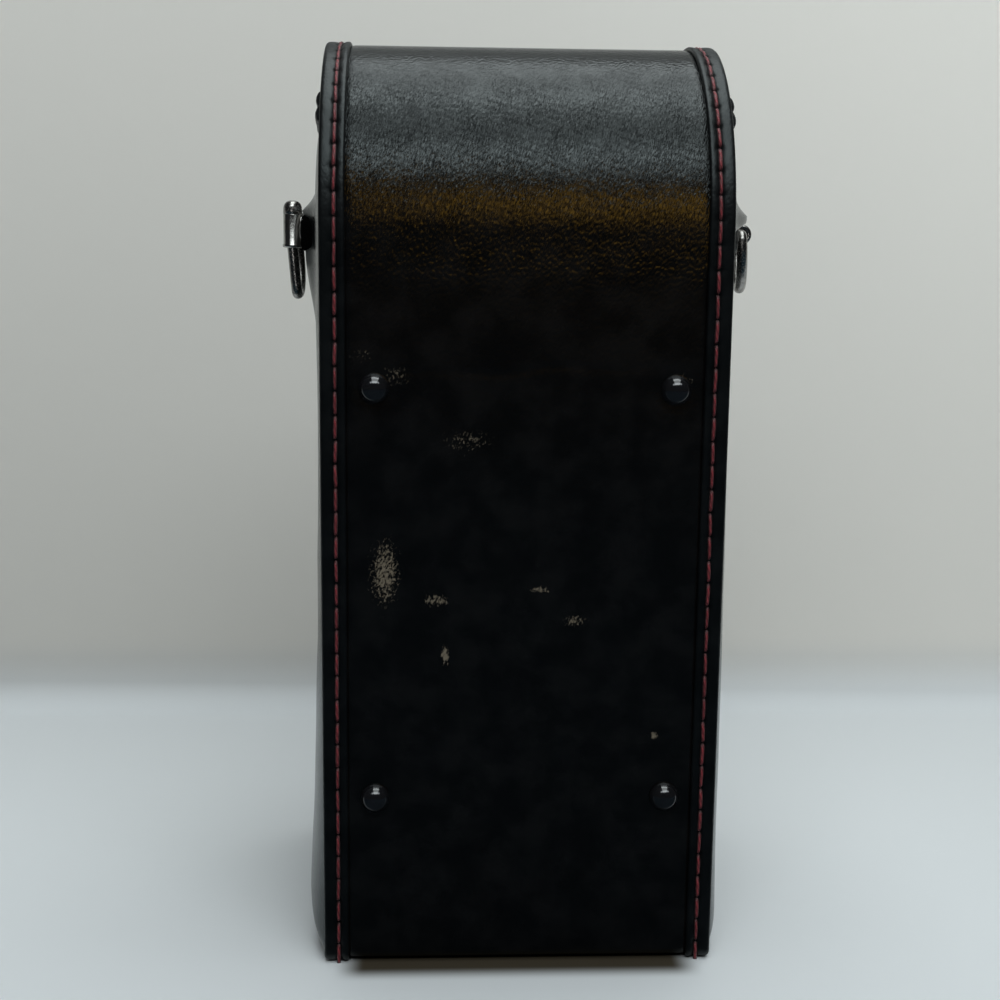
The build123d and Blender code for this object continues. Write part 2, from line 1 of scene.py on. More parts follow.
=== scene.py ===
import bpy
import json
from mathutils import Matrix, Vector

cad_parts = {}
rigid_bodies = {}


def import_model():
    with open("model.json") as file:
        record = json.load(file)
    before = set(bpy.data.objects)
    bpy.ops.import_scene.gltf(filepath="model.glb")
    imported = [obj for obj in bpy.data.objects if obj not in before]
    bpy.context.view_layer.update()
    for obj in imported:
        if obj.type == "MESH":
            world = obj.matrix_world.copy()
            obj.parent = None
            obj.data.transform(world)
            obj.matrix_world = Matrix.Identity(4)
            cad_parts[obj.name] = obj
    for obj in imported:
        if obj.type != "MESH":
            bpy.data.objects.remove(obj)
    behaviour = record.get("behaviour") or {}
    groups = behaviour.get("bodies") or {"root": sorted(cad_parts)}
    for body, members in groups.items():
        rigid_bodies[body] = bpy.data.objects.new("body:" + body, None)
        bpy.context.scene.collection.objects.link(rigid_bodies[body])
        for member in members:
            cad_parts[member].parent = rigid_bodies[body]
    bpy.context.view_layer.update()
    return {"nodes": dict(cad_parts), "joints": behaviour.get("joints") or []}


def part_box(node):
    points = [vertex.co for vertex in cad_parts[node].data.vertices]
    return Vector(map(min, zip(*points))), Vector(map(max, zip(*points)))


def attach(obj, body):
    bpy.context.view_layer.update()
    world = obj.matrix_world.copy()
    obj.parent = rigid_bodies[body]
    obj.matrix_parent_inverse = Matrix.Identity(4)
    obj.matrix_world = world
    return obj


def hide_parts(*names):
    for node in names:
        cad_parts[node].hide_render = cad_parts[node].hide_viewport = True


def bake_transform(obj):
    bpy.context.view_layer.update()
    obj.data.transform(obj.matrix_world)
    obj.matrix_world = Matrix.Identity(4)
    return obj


bl_info = {
    "name": "Stitched lens case",
    "version": (1, 0, 0),
    "blender": (4, 5, 0),
    "location": "View3D > Sidebar > Lens case",
    "description": "Builds a stitched leatherette lens case on its construction frame",
    "category": "Object",
}

import json
import math

import bmesh
import bpy
import numpy as np
from bpy.props import FloatProperty, FloatVectorProperty, IntProperty, PointerProperty
from mathutils import Matrix, Vector, noise

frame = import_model()

MM = 0.001
SIDES = (("left", -1), ("right", 1))

# Sizes read from the construction
rim_low, rim_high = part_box("lid_side_cover_right")
panel_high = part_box("body_side_cover_right")[1]
band_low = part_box("body_cover")[0]
lining_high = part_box("body_lining")[1]
MOUND_LOW, MOUND_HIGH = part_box("lug_mound_right")
PIVOTS = {joint["name"]: joint.get("pos_m") for joint in frame["joints"]}
RIM_IN = rim_low.x + 0.3 * MM
RIM_OUT = rim_high.x + 0.78 * MM
RADIUS = panel_high.y
ARCH = rim_high.z - RADIUS
BACK = band_low.y
PROUD = RADIUS + BACK
HINGE = Vector(PIVOTS["lid_hinge"])
HINGE_ANGLE = math.atan2(HINGE.z - ARCH, -HINGE.y)
LID_GAP = 0.4 * MM
LID_FRONT = rim_low.z - LID_GAP / 2
SLOPE = (HINGE.z - LID_FRONT) / (RADIUS - HINGE.y)
TILT = math.atan(SLOPE)
BEND = 5.5 * MM
SKIN = 1.15 * MM

# The rail that rims, band and stitches follow: half the base, the back and the arch
CORNER = 3.0 * MM
CORNER_START = RADIUS - CORNER
BACK_START = CORNER_START + CORNER * math.pi / 2
ARCH_START = BACK_START + ARCH - CORNER
LID_STOP = ARCH_START + RADIUS * (math.pi - math.asin((LID_FRONT + LID_GAP - ARCH) / RADIUS))
MOUTH_STOP = BACK_START + LID_FRONT - LID_GAP - CORNER
SEAM_X = (rim_low.x + rim_high.x) / 2 - 0.07 * MM

# Holes start at the floor's corner and run to the lid's front edge
BACK_SEAM = (CORNER_START + 0.8 * MM, LID_STOP - 2.0 * MM)
FRONT_SEAM = (CORNER_START + 0.8 * MM, MOUTH_STOP - 1.5 * MM)

feet_low, feet_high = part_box("back_feet")
FOOT_RADIUS = 4.0 * MM
FEET = [
    (x, z)
    for x in (feet_low.x + FOOT_RADIUS, feet_high.x - FOOT_RADIUS)
    for z in (feet_low.z + FOOT_RADIUS, feet_high.z - FOOT_RADIUS)
]
BARREL_X, _, LUG_Z = PIVOTS["swivel_right"]
RING_SLIDE = LUG_Z - PIVOTS["ring_left_hinge"][2]


def length(name, description, default):
    return FloatProperty(name=name, description=description, default=default, unit="LENGTH", precision=5)


def tint(name, description, default):
    return FloatVectorProperty(name=name, description=description, default=default, subtype="COLOR")


class CaseSizes(bpy.types.PropertyGroup):
    stitch_pitch: length("Stitch pitch", "Distance from one needle hole to the next", 6.3 * MM)
    thread_radius: length("Thread radius", "Radius of the waxed sewing thread", 0.52 * MM)
    pebble: length("Grain size", "Width of one grain of the leatherette", 0.75 * MM)
    panel_softness: length("Panel dents", "Depth of the soft dents in the stuffed side panels", 0.3 * MM)
    seed: IntProperty(name="Seed", description="Start of every random draw", default=7)


class CaseColours(bpy.types.PropertyGroup):
    leather: tint("Leatherette", "Black leatherette of band, rims and panels", (0.0016, 0.0017, 0.002))
    scuff: tint("Scuffs", "Pale rubbed patches of the leatherette", (0.16, 0.145, 0.115))
    thread: tint("Thread", "Red sewing thread", (0.25, 0.018, 0.026))
    nickel: tint("Nickel", "Tarnished nickel of the strap fittings", (0.56, 0.54, 0.51))
    chrome: tint("Chrome", "Chrome plate of the latch", (0.66, 0.66, 0.67))
    foot: tint("Feet", "Gloss black feet", (0.006, 0.006, 0.007))
    lining: tint("Lining", "Dark red pile cloth inside", (0.15, 0.012, 0.018))
    foam: tint("Foam", "Grey foam of seat and pad", (0.05, 0.05, 0.055))
    board: tint("Board", "Pressed fibreboard of the walls", (0.27, 0.2, 0.13))
    wall: tint("Wall", "Backdrop behind the case", (0.91, 0.87, 0.81))
    floor: tint("Floor", "Pale floor under the case", (0.68, 0.70, 0.715))


def sizes():
    return bpy.context.scene.lens_case_sizes


def colours():
    return bpy.context.scene.lens_case_colours


def shade(colour, share=1.0, lift=0.0):
    """A colour with this share of its light, for a node's socket."""
    return (*[min(1.0, channel * share + lift) for channel in colour], 1.0)


PER_METRE = (1000.0, 1000.0, 1000.0)


class Nodes:
    """Short calls for a tree's nodes. Each value is a number, a colour or another node's output."""

    def __init__(self, tree):
        self.tree = tree

    def feed(self, node, inputs):
        for socket, value in inputs.items():
            if isinstance(value, bpy.types.NodeSocket):
                self.tree.links.new(value, node.inputs[socket])
            else:
                node.inputs[socket].default_value = value
        return node

    def add(self, kind, inputs=None, **settings):
        """Adds a node and gives its outputs."""
        node = self.tree.nodes.new(kind)
        for name, value in settings.items():
            setattr(node, name, value)
        return self.feed(node, inputs or {}).outputs

    def group(self, tree, inputs):
        return self.add("ShaderNodeGroup", inputs, node_tree=tree)

    def calc(self, operation, *values, clamp=False):
        return self.add("ShaderNodeMath", dict(enumerate(values)), operation=operation, use_clamp=clamp)[0]

    def times(self, first, second):
        return self.calc("MULTIPLY", first, second)

    def times_plus(self, first, second, added, clamp=False):
        return self.calc("MULTIPLY_ADD", first, second, added, clamp=clamp)

    def vector(self, operation, first, second):
        return self.add("ShaderNodeVectorMath", {0: first, 1: second}, operation=operation)[0]

    def split(self, vector):
        return self.add("ShaderNodeSeparateXYZ", {0: vector})

    def ramp(self, value, low, high, to_low=0.0, to_high=1.0):
        """Smooth step of value from low to high."""
        inputs = {"Value": value, "From Min": low, "From Max": high, "To Min": to_low, "To Max": to_high}
        return self.add("ShaderNodeMapRange", inputs, interpolation_type="SMOOTHSTEP")["Result"]

    def mix(self, factor, first, second, blend="MIX"):
        inputs = {0: factor, 6: first, 7: second}
        return self.add("ShaderNodeMix", inputs, data_type="RGBA", blend_type=blend)[2]

    def noise(self, vector, scale, detail=3.0, rough=0.55, warp=0.0):
        inputs = {"Vector": vector, "Scale": scale, "Detail": detail, "Roughness": rough, "Distortion": warp}
        return self.add("ShaderNodeTexNoise", inputs)["Fac"]

    def stretched(self, vector, sizes_mm, turn=0.0):
        """Coordinates in which one unit is sizes_mm long along axes turned by this angle."""
        inputs = {"Vector": vector, "Rotation": (0, 0, turn), "Scale": sizes_mm}
        return self.add("ShaderNodeMapping", inputs, vector_type="TEXTURE")[0]

    def surface_mm(self):
        """The piece's own surface coordinates in millimetres."""
        return self.vector("MULTIPLY", self.add("ShaderNodeUVMap", uv_map="surface")[0], PER_METRE)

    def object_mm(self):
        return self.vector("MULTIPLY", self.add("ShaderNodeTexCoord")["Object"], PER_METRE)

    def stored(self, name):
        return self.add("ShaderNodeAttribute", attribute_name=name)["Fac"]

    def bump(self, height, depth):
        return self.add("ShaderNodeBump", {"Height": height, "Distance": depth, "Strength": 1.0})[0]


def node_group(name, kind, inputs, outputs):
    """Empty node tree with sockets. inputs are (name, socket type, default), outputs have no default."""
    tree = bpy.data.node_groups.new(name, kind)
    for label, socket_type, default in inputs:
        socket = tree.interface.new_socket(name=label, in_out="INPUT", socket_type=f"NodeSocket{socket_type}")
        if default is not None:
            socket.default_value = default
    for label, socket_type in outputs:
        tree.interface.new_socket(name=label, in_out="OUTPUT", socket_type=f"NodeSocket{socket_type}")
    given = tree.nodes.new("NodeGroupInput").outputs
    return tree, Nodes(tree), given, tree.nodes.new("NodeGroupOutput")


def grain_group():
    """Crinkled grain of leatherette, from surface coordinates in millimetres."""
    name = "Leatherette grain"
    if name in bpy.data.node_groups:
        return bpy.data.node_groups[name]
    inputs = (("Surface", "Vector", None), ("Pebble", "Float", 0.75), ("Streaks", "Float", 0.5))
    outputs = (("Height", "Float"), ("Tone", "Float"))
    tree, t, given, sink = node_group(name, "ShaderNodeTree", inputs, outputs)
    surface = given["Surface"]
    scale = t.calc("DIVIDE", 1.0, given["Pebble"])
    inputs = {"Vector": t.stretched(surface, (1.0, 1.4, 1.0), -0.4), "Scale": scale}
    cells = t.add("ShaderNodeTexVoronoi", inputs, feature="SMOOTH_F1")
    pebbles = t.ramp(cells["Distance"], 0.15, 0.8, 1.0, 0.0)
    ridges = t.ramp(t.noise(t.stretched(surface, (0.3, 2.2, 1.0), -0.32), 1.0, 1.0, 0.4), 0.4, 0.6)
    zone = t.ramp(t.noise(surface, 0.12, 2.0), 0.35, 0.6, 0.55, 1.0)
    creases = t.noise(t.stretched(surface, (0.9, 4.5, 1.0), -0.6), 1.0, 2.0, 0.5)
    creases = t.ramp(t.calc("ABSOLUTE", t.calc("SUBTRACT", creases, 0.5)), 0.0, 0.03)
    fine = t.noise(surface, 4.0, 2.0, 0.6)
    worked = t.times(zone, given["Streaks"])
    height = t.times(pebbles, t.times_plus(worked, -0.42, 0.5))
    height = t.times_plus(t.times(ridges, worked), 0.65, height)
    height = t.times_plus(t.times(creases, worked), 0.12, height)
    height = t.times_plus(fine, 0.1, height)
    t.feed(sink, {"Height": height, "Tone": t.noise(surface, 0.09, 4.0, 0.6)})
    return tree


def rub_group():
    """One rubbed patch: fibres of noise inside a soft ellipse, from surface coordinates in millimetres."""
    name = "Rubbed patch"
    if name in bpy.data.node_groups:
        return bpy.data.node_groups[name]
    inputs = (
        ("Surface", "Vector", None),
        ("Centre", "Vector", (0, 0, 0)),
        ("Reach", "Vector", (5, 5, 1)),
        ("Amount", "Float", 0.5),
    )
    tree, t, given, sink = node_group(name, "ShaderNodeTree", inputs, (("Mask", "Float"),))
    scaled = t.vector("DIVIDE", t.vector("SUBTRACT", given["Surface"], given["Centre"]), given["Reach"])
    far = t.add("ShaderNodeVectorMath", {0: scaled}, operation="LENGTH")["Value"]
    inside = t.ramp(far, 0.1, 1.0, 1.0, 0.0)
    fibres = t.noise(t.stretched(given["Surface"], (0.7, 1.3, 1.0), -0.3), 1.1, 5.0, 0.72, 0.4)
    level = t.times_plus(t.times(inside, given["Amount"]), 0.34, fibres)
    t.feed(sink, {"Mask": t.times(t.ramp(level, 0.68, 0.82), t.ramp(inside, 0.0, 0.25))})
    return tree


def new_material(name):
    material = bpy.data.materials.new(name)
    material.use_nodes = True
    return material, Nodes(material.node_tree), material.node_tree.nodes["Principled BSDF"]


# Rubbed patches on the back: x and height on the case, reach each way in millimetres, and amount
BACK_RUBS = (
    (-36.3, 109.5, 6.5, 15.0, 0.8),
    (-15.0, 144.5, 11.0, 5.0, 0.5),
    (-22.7, 102.0, 6.0, 3.0, 0.68),
    (4.5, 104.9, 5.0, 1.6, 0.75),
    (14.0, 96.5, 5.0, 2.6, 0.7),
    (-20.4, 87.0, 1.8, 4.5, 1.0),
    (36.0, 64.5, 2.0, 2.0, 0.85),
    (-33.0, 161.5, 7.0, 5.0, 0.45),
    (41.0, 159.5, 5.0, 6.0, 0.45),
    (-42.0, 166.5, 5.0, 3.0, 0.42),
)


def leather_material(name, depth, streaks, roughness, wear, pebble=1.0, gloss=0.295, back=False, grime=False):
    """Black leatherette with grain and dust.

    The back has rubbed patches, its grain is pressed flat below the arch, and the streaks fade towards the
    top. Grime dulls the leather round the lugs' plates.
    """
    material, t, shader = new_material(name)
    surface = t.surface_mm()
    arch_mm = ARCH_START / MM
    worked = streaks
    if back:
        up = t.split(surface)["Y"]
        low = (ARCH_START + RADIUS * 0.55) / MM
        worn_in = t.ramp(up, low, low + RADIUS / MM * 0.6, streaks, streaks * 0.5)
        worked = t.times(worn_in, t.ramp(up, arch_mm - 14, arch_mm + 12, 0.12, 1.0))
    inputs = {"Surface": surface, "Pebble": sizes().pebble / MM * pebble, "Streaks": worked}
    grain = t.group(grain_group(), inputs)
    height, tone = grain["Height"], grain["Tone"]
    if back:
        height = t.times(height, t.ramp(up, arch_mm - 18, arch_mm - 6, 0.25, 1.0))
    leather, scuff = colours().leather, shade(colours().scuff)
    colour = t.mix(t.ramp(tone, 0.35, 0.7), shade(leather), shade(leather, 1.9, 0.001))
    specks = t.ramp(t.noise(surface, 0.9, 6.0, 0.75), 0.7, 0.8)
    colour = t.mix(t.times(specks, wear), colour, scuff)
    rough = t.times_plus(tone, 0.06, roughness - 0.03)
    if grime:
        place = t.split(t.object_mm())
        along = t.ramp(t.calc("ABSOLUTE", place["Y"]), 24.0, 32.0, 1.0, 0.0)
        above = t.calc("ABSOLUTE", t.calc("SUBTRACT", place["Z"], LUG_Z / MM - 2.0))
        rough = t.times_plus(t.times(along, t.ramp(above, 5.5, 8.5, 1.0, 0.0)), 0.55, rough, clamp=True)
    if back:
        rubbed = None
        for x, z, reach_x, reach_z, amount in BACK_RUBS:
            centre = (x, (BACK_START - CORNER) / MM + z, 0)
            inputs = {"Surface": surface, "Centre": centre, "Reach": (reach_x, reach_z, 1), "Amount": amount}
            mask = t.group(rub_group(), inputs)["Mask"]
            rubbed = mask if rubbed is None else t.calc("MAXIMUM", rubbed, mask)
        colour = t.mix(t.times(rubbed, 0.75), colour, scuff)
        rough = t.times_plus(rubbed, 0.3, rough)
    inputs = {
        "Base Color": colour,
        "Roughness": rough,
        "Normal": t.bump(height, depth * MM),
        "Specular IOR Level": gloss,
        "Specular Tint": (0.9, 1.0, 1.0, 1.0),
    }
    t.feed(shader, inputs)
    return material


def thread_material():
    """Twisted waxed thread. along, around and facing are stored on each stitch; painted shade darkens its
    flanks, which face away from the outside.
    """
    material, t, shader = new_material("red_thread")
    red = colours().thread
    turns = t.times_plus(t.stored("along"), 3.0, t.times(t.stored("around"), 3.0))
    ply = t.times(t.calc("SINE", t.times(turns, 2 * math.pi)), 0.6)
    place = t.object_mm()
    fray = t.noise(place, 3.0, 4.0, 0.7)
    colour = t.mix(t.ramp(ply, -1.0, 0.9), shade(red, 0.35), shade(red))
    colour = t.mix(t.ramp(fray, 0.52, 0.75), colour, shade(red, 1.25, 0.05))
    soil = t.ramp(t.noise(place, 0.06, 2.0), 0.45, 0.7)
    colour = t.mix(t.times(soil, 0.55), colour, shade(red, 0.35))
    # painted shade: the stitch's flanks and underside, facing away from the outside, take a near-black red
    colour = t.mix(t.ramp(t.stored("facing"), 0.5, 1.0), shade(red, 0.12), colour)
    inputs = {
        "Base Color": colour,
        "Normal": t.bump(t.times_plus(ply, 0.35, fray), 0.12 * MM),
        "Roughness": t.ramp(fray, 0.3, 0.8, 0.42, 0.62),
        "Sheen Weight": 0.08,
    }
    t.feed(shader, inputs)
    return material


def metal_material(name, colour, roughness, tarnish, rust=0.0):
    """Plated metal with fine scratches, tarnish and, where it is worn through, brown rust."""
    material, t, shader = new_material(name)
    place = t.object_mm()
    cloudy = t.noise(place, 0.35, 5.0, 0.65)
    pits = t.noise(place, 2.6, 4.0, 0.7)
    dull = t.mix(t.times(t.ramp(cloudy, 0.45, 0.68), tarnish), shade(colour), shade(colour, 0.3))
    worn = t.times(t.ramp(pits, 0.56, 0.7), rust)
    scratches = t.noise(t.stretched(place, (2.5, 0.2, 0.2), 0.2), 1.0, 3.0, 0.7)
    height = t.times_plus(scratches, 0.4, t.times(pits, tarnish))
    rough = t.times_plus(cloudy, 0.25, roughness - 0.1)
    inputs = {
        "Base Color": t.mix(worn, dull, shade((0.09, 0.04, 0.018))),
        "Metallic": t.calc("SUBTRACT", 1.0, worn),
        "Roughness": t.times_plus(worn, 0.4, rough, clamp=True),
        "Normal": t.bump(height, 0.03 * MM),
    }
    t.feed(shader, inputs)
    return material


def foot_material():
    """Gloss black moulding with hairline scratches and dust."""
    material, t, shader = new_material("gloss_black")
    place = t.object_mm()
    hairlines = t.noise(t.stretched(place, (0.17, 1.0, 1.4)), 1.0, 4.0, 0.75)
    scratches = t.ramp(hairlines, 0.6, 0.72)
    dust = t.ramp(t.noise(place, 2.0, 5.0, 0.8), 0.62, 0.75)
    inputs = {
        "Base Color": t.mix(t.times(dust, 0.12), shade(colours().foot), shade(colours().scuff)),
        "Roughness": t.times_plus(scratches, 0.18, 0.1),
        "Normal": t.bump(scratches, 0.01 * MM),
        "Coat Weight": 0.6,
        "Coat Roughness": 0.06,
    }
    t.feed(shader, inputs)
    return material


def pile_material():
    """Short dark red pile, brushed in patches."""
    material, t, shader = new_material("pile_lining")
    place = t.object_mm()
    brushed = t.ramp(t.noise(place, 0.07, 3.0, 0.6, 0.8), 0.4, 0.62)
    tufts = t.noise(place, 3.2, 3.0, 0.7)
    red = colours().lining
    colour = t.mix(brushed, shade(red), shade(red, 2.1, 0.004))
    inputs = {
        "Base Color": t.mix(t.ramp(tufts, 0.35, 0.7), shade(red, 0.4), colour),
        "Normal": t.bump(tufts, 0.5 * MM),
        "Roughness": 0.95,
        "Sheen Weight": 0.6,
        "Sheen Roughness": 0.4,
    }
    t.feed(shader, inputs)
    return material


def foam_material():
    """Open-cell grey foam."""
    material, t, shader = new_material("seat_foam")
    cells = t.add("ShaderNodeTexVoronoi", {"Vector": t.object_mm(), "Scale": 1.1})
    open_cells = t.ramp(cells["Distance"], 0.1, 0.6)
    colour = t.mix(open_cells, shade(colours().foam, 0.35), shade(colours().foam))
    t.feed(shader, {"Base Color": colour, "Normal": t.bump(open_cells, 0.35 * MM), "Roughness": 0.92})
    return material


def board_material():
    """Pressed fibreboard with flecks."""
    material, t, shader = new_material("fibreboard")
    fibres = t.noise(t.stretched(t.object_mm(), (0.4, 1.7, 1.7)), 0.9, 5.0, 0.7)
    colour = t.mix(fibres, shade(colours().board, 0.55), shade(colours().board, 1.3))
    t.feed(shader, {"Base Color": colour, "Normal": t.bump(fibres, 0.15 * MM), "Roughness": 0.85})
    return material


# Meshes
def grid_faces(rows, columns, around=False, closed=False):
    """Quads of a grid of places. around joins its last column to its first, closed its last row."""
    index = np.arange(rows * columns).reshape(rows, columns)
    if around:
        index = np.hstack([index, index[:, :1]])
    if closed:
        index = np.vstack([index, index[:1]])
    quads = np.stack([index[:-1, :-1], index[:-1, 1:], index[1:, 1:], index[1:, :-1]], -1)
    return quads.reshape(-1, 4).tolist()


def tube_faces(rows, columns, last_cap=True):
    """Faces of a tube with its ends closed."""
    faces = grid_faces(rows, columns, around=True)
    faces.append(list(range(columns)))
    if last_cap:
        faces.append(list(reversed(range((rows - 1) * columns, rows * columns))))
    return faces


def add_object(name, data):
    made = bpy.data.objects.new(name, data)
    bpy.context.scene.collection.objects.link(made)
    return made


def make_piece(name, points, faces, surface=None, smooth=True):
    """New mesh object. points is an array of places, surface an array of surface coordinates."""
    mesh = bpy.data.meshes.new(name)
    mesh.from_pydata(np.asarray(points, float).reshape(-1, 3).tolist(), [], faces)
    piece = add_object(name, mesh)
    if surface is not None:
        layer = mesh.uv_layers.new(name="surface")
        flat = np.asarray(surface, np.float32).reshape(-1, 2)
        corner = np.zeros(len(mesh.loops), np.int32)
        mesh.loops.foreach_get("vertex_index", corner)
        layer.data.foreach_set("uv", flat[corner].ravel())
    tidy_mesh(mesh, smooth)
    return piece


def tidy_mesh(mesh, smooth=True):
    shape = bmesh.new()
    shape.from_mesh(mesh)
    bmesh.ops.remove_doubles(shape, verts=shape.verts, dist=1e-7)
    bmesh.ops.recalc_face_normals(shape, faces=shape.faces)
    for face in shape.faces:
        face.smooth = smooth
    shape.to_mesh(mesh)
    shape.free()
    mesh.update()


def dress(piece, material):
    piece.data.materials.clear()
    piece.data.materials.append(material)


def finish_piece(piece, material, body, replaced=()):
    """Gives a piece its finish and hides the nodes that it stands for. A body given by name becomes its
    parent; for any other body, such as the blend over the hinge, its place is only baked into its mesh.
    """
    dress(piece, material)
    if isinstance(body, str):
        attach(piece, body)
    else:
        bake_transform(piece)
    if replaced:
        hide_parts(*replaced)


def dress_node(name, material):
    """Gives a construction node its finish."""
    dress(frame["nodes"][name], material)


def rail(stops):
    """Columns y, z and outward normal, at distances from the base's middle up the back and over the arch."""
    s = np.asarray(stops, float)
    turn = np.clip((s - CORNER_START) / CORNER, 0, math.pi / 2)
    rise = np.clip(s - BACK_START, 0, ARCH - CORNER)
    arc = np.maximum((s - ARCH_START) / RADIUS, 0)
    on_arch = s > ARCH_START
    y = -np.minimum(s, CORNER_START) - CORNER * np.sin(turn)
    y = np.where(on_arch, -RADIUS * np.cos(arc), y)
    z = CORNER * (1 - np.cos(turn)) + rise
    z = np.where(on_arch, ARCH + RADIUS * np.sin(arc), z)
    ny = np.where(on_arch, -np.cos(arc), -np.sin(turn))
    nz = np.where(on_arch, np.sin(arc), -np.cos(turn))
    return np.stack([y, z, ny, nz], -1)


def parting_z(y, above=0.0):
    return HINGE.z + above / math.cos(TILT) - SLOPE * (y - HINGE.y)


BASE_ROUND = 2.4 * MM


def round_base(places):
    """Turns the outer corner at the base on a radius, in place."""
    middle = RIM_OUT - BASE_ROUND
    over = np.abs(places[..., 0]) - middle
    painted_contact_shadow = BASE_ROUND - places[..., 2]
    reach = np.hypot(over, painted_contact_shadow)
    outside = (over > 0) & (painted_contact_shadow > 0) & (reach > BASE_ROUND)
    keep = np.where(outside, BASE_ROUND / np.maximum(reach, 1e-9), 1.0)
    places[..., 0] = np.where(outside, np.sign(places[..., 0]) * (middle + over * keep), places[..., 0])
    places[..., 2] = np.where(outside, BASE_ROUND - painted_contact_shadow * keep, places[..., 2])


def swept_piece(name, stops, across, heights, front, lift):
    """Closed section swept along the rail, up the back or the front. lift raises it from its heights."""
    path = rail(stops)
    along, x = np.meshgrid(stops, across, indexing="ij")
    n = np.meshgrid(stops, heights, indexing="ij")[1]
    n = n + lift(along, x, n)
    y = path[:, 0:1] + path[:, 2:3] * n
    z = path[:, 1:2] + path[:, 3:4] * n
    places = np.stack([x, -y if front else y, z], -1)
    round_base(places)
    run = np.concatenate([[0], np.cumsum(np.hypot(np.diff(across), np.diff(heights)))]) + across[0]
    surface = np.stack([np.meshgrid(stops, run, indexing="ij")[1], along], -1)
    return make_piece(name, places, tube_faces(len(stops), len(across)), surface)


def cloud(places, scale, octaves, shift):
    """Smooth noise from -1 to 1 at each place, with lumps of the given size."""
    flat = places.reshape(-1, 3)
    offset = Vector((shift, shift * 0.7, -shift))
    values = [noise.fractal(Vector(point) / scale + offset, 1.0, 2.0, octaves) for point in flat]
    return np.array(values).reshape(places.shape[:-1])


def bell(distance, width):
    return np.exp(-((distance / width) ** 2))


def step(value, low, high):
    """Smooth step from 0 at low to 1 at high."""
    t = np.clip((value - low) / (high - low), 0, 1)
    return t * t * (3 - 2 * t)


def stitch_stops(start, end):
    """Needle holes from start to near end, one pitch apart after rounding."""
    count = max(2, round((end - start) / sizes().stitch_pitch))
    return np.linspace(start, end, count + 1)


def rim_lift(seam):
    """Groove along the stitches, deeper at each hole, and a slight waviness."""
    holes = stitch_stops(*seam)
    pitch = holes[1] - holes[0]

    def lift(s, x, n):
        top = np.clip((n + 1.0 * MM) / (0.8 * MM), 0, 1)
        off = np.abs(np.abs(x) - SEAM_X)
        nearest = np.abs((s - holes[0] + pitch / 2) % pitch - pitch / 2)
        sewn = (s > seam[0] - pitch / 3) & (s < seam[1] + pitch / 3)
        hole = np.exp(-((nearest / (0.6 * MM)) ** 2) - (off / (0.62 * MM)) ** 2)
        pucker = np.exp(-((nearest / (1.5 * MM)) ** 2) - (off / (1.6 * MM)) ** 2)
        wave = cloud(np.stack([x, s, n], -1), 11 * MM, 2, 3.1)
        return top * (np.where(sewn, -0.95 * hole - 0.14 * pucker, 0.0) + 0.06 * wave) * MM

    return lift


# Section of the rim in millimetres: across the case, and height over the rail
RIM_SECTION = (
    (46.9, -1.9), (46.42, -1.1), (46.3, -0.7), (46.36, -0.34), (46.58, -0.06), (46.92, 0.05),
    (47.4, 0.03), (47.85, -0.06), (48.2, -0.18), (48.5, -0.36), (48.78, -0.54), (49.08, -0.62),
    (49.38, -0.54), (49.66, -0.36), (49.96, -0.18), (50.5, -0.09), (51.2, -0.06), (51.9, -0.08),
    (52.45, -0.18), (52.82, -0.42), (53.0, -0.8), (53.08, -1.3), (53.04, -1.9), (52.85, -2.6),
    (52.4, -3.0), (51.6, -3.1), (51.05, -2.8), (51.05, -1.95),
)


def rim_stops(end):
    return np.arange(0, end, 0.5 * MM).tolist() + [end]


def hinge_blend():
    along = Vector((0, math.sin(HINGE_ANGLE), math.cos(HINGE_ANGLE)))
    return ("case", "lid", HINGE - along * BEND, HINGE + along * BEND)


def build_rims():
    material = leather_material("rim_leather", depth=0.07, streaks=0.12, roughness=0.4, wear=0.55)
    for side, sign in SIDES:
        across = [sign * x * MM for x, _ in RIM_SECTION]
        heights = [n * MM for _, n in RIM_SECTION]
        stops = rim_stops(LID_STOP)
        back = swept_piece(f"rim_back_{side}", stops, across, heights, False, rim_lift(BACK_SEAM))
        finish_piece(back, material, hinge_blend(), [f"lid_side_cover_{side}"])
        stops = rim_stops(MOUTH_STOP)
        front = swept_piece(f"rim_front_{side}", stops, across, heights, True, rim_lift(FRONT_SEAM))
        finish_piece(front, material, "case")


def band_columns():
    """Across the band: x and height of a closed section, its outside finely divided."""
    edge = RIM_IN + 0.9 * MM
    outside = np.linspace(-edge, edge, 131)
    heights = -PROUD - 0.45 * MM * bell(np.abs(outside) - RIM_IN, 0.45 * MM)
    buried = np.abs(outside) > RIM_IN + 0.3 * MM
    heights = np.where(buried, -PROUD - 0.5 * MM, heights)
    across = np.concatenate([outside, [edge, -edge]])
    return across, np.concatenate([heights, [-PROUD - SKIN, -PROUD - SKIN]])


def on_band(x, n, lift):
    """Keeps a lift to the outside of the band."""
    outer = (n > -PROUD - 0.6 * MM) & (np.abs(x) < RIM_IN)
    return np.where(outer, lift * MM, 0.0)


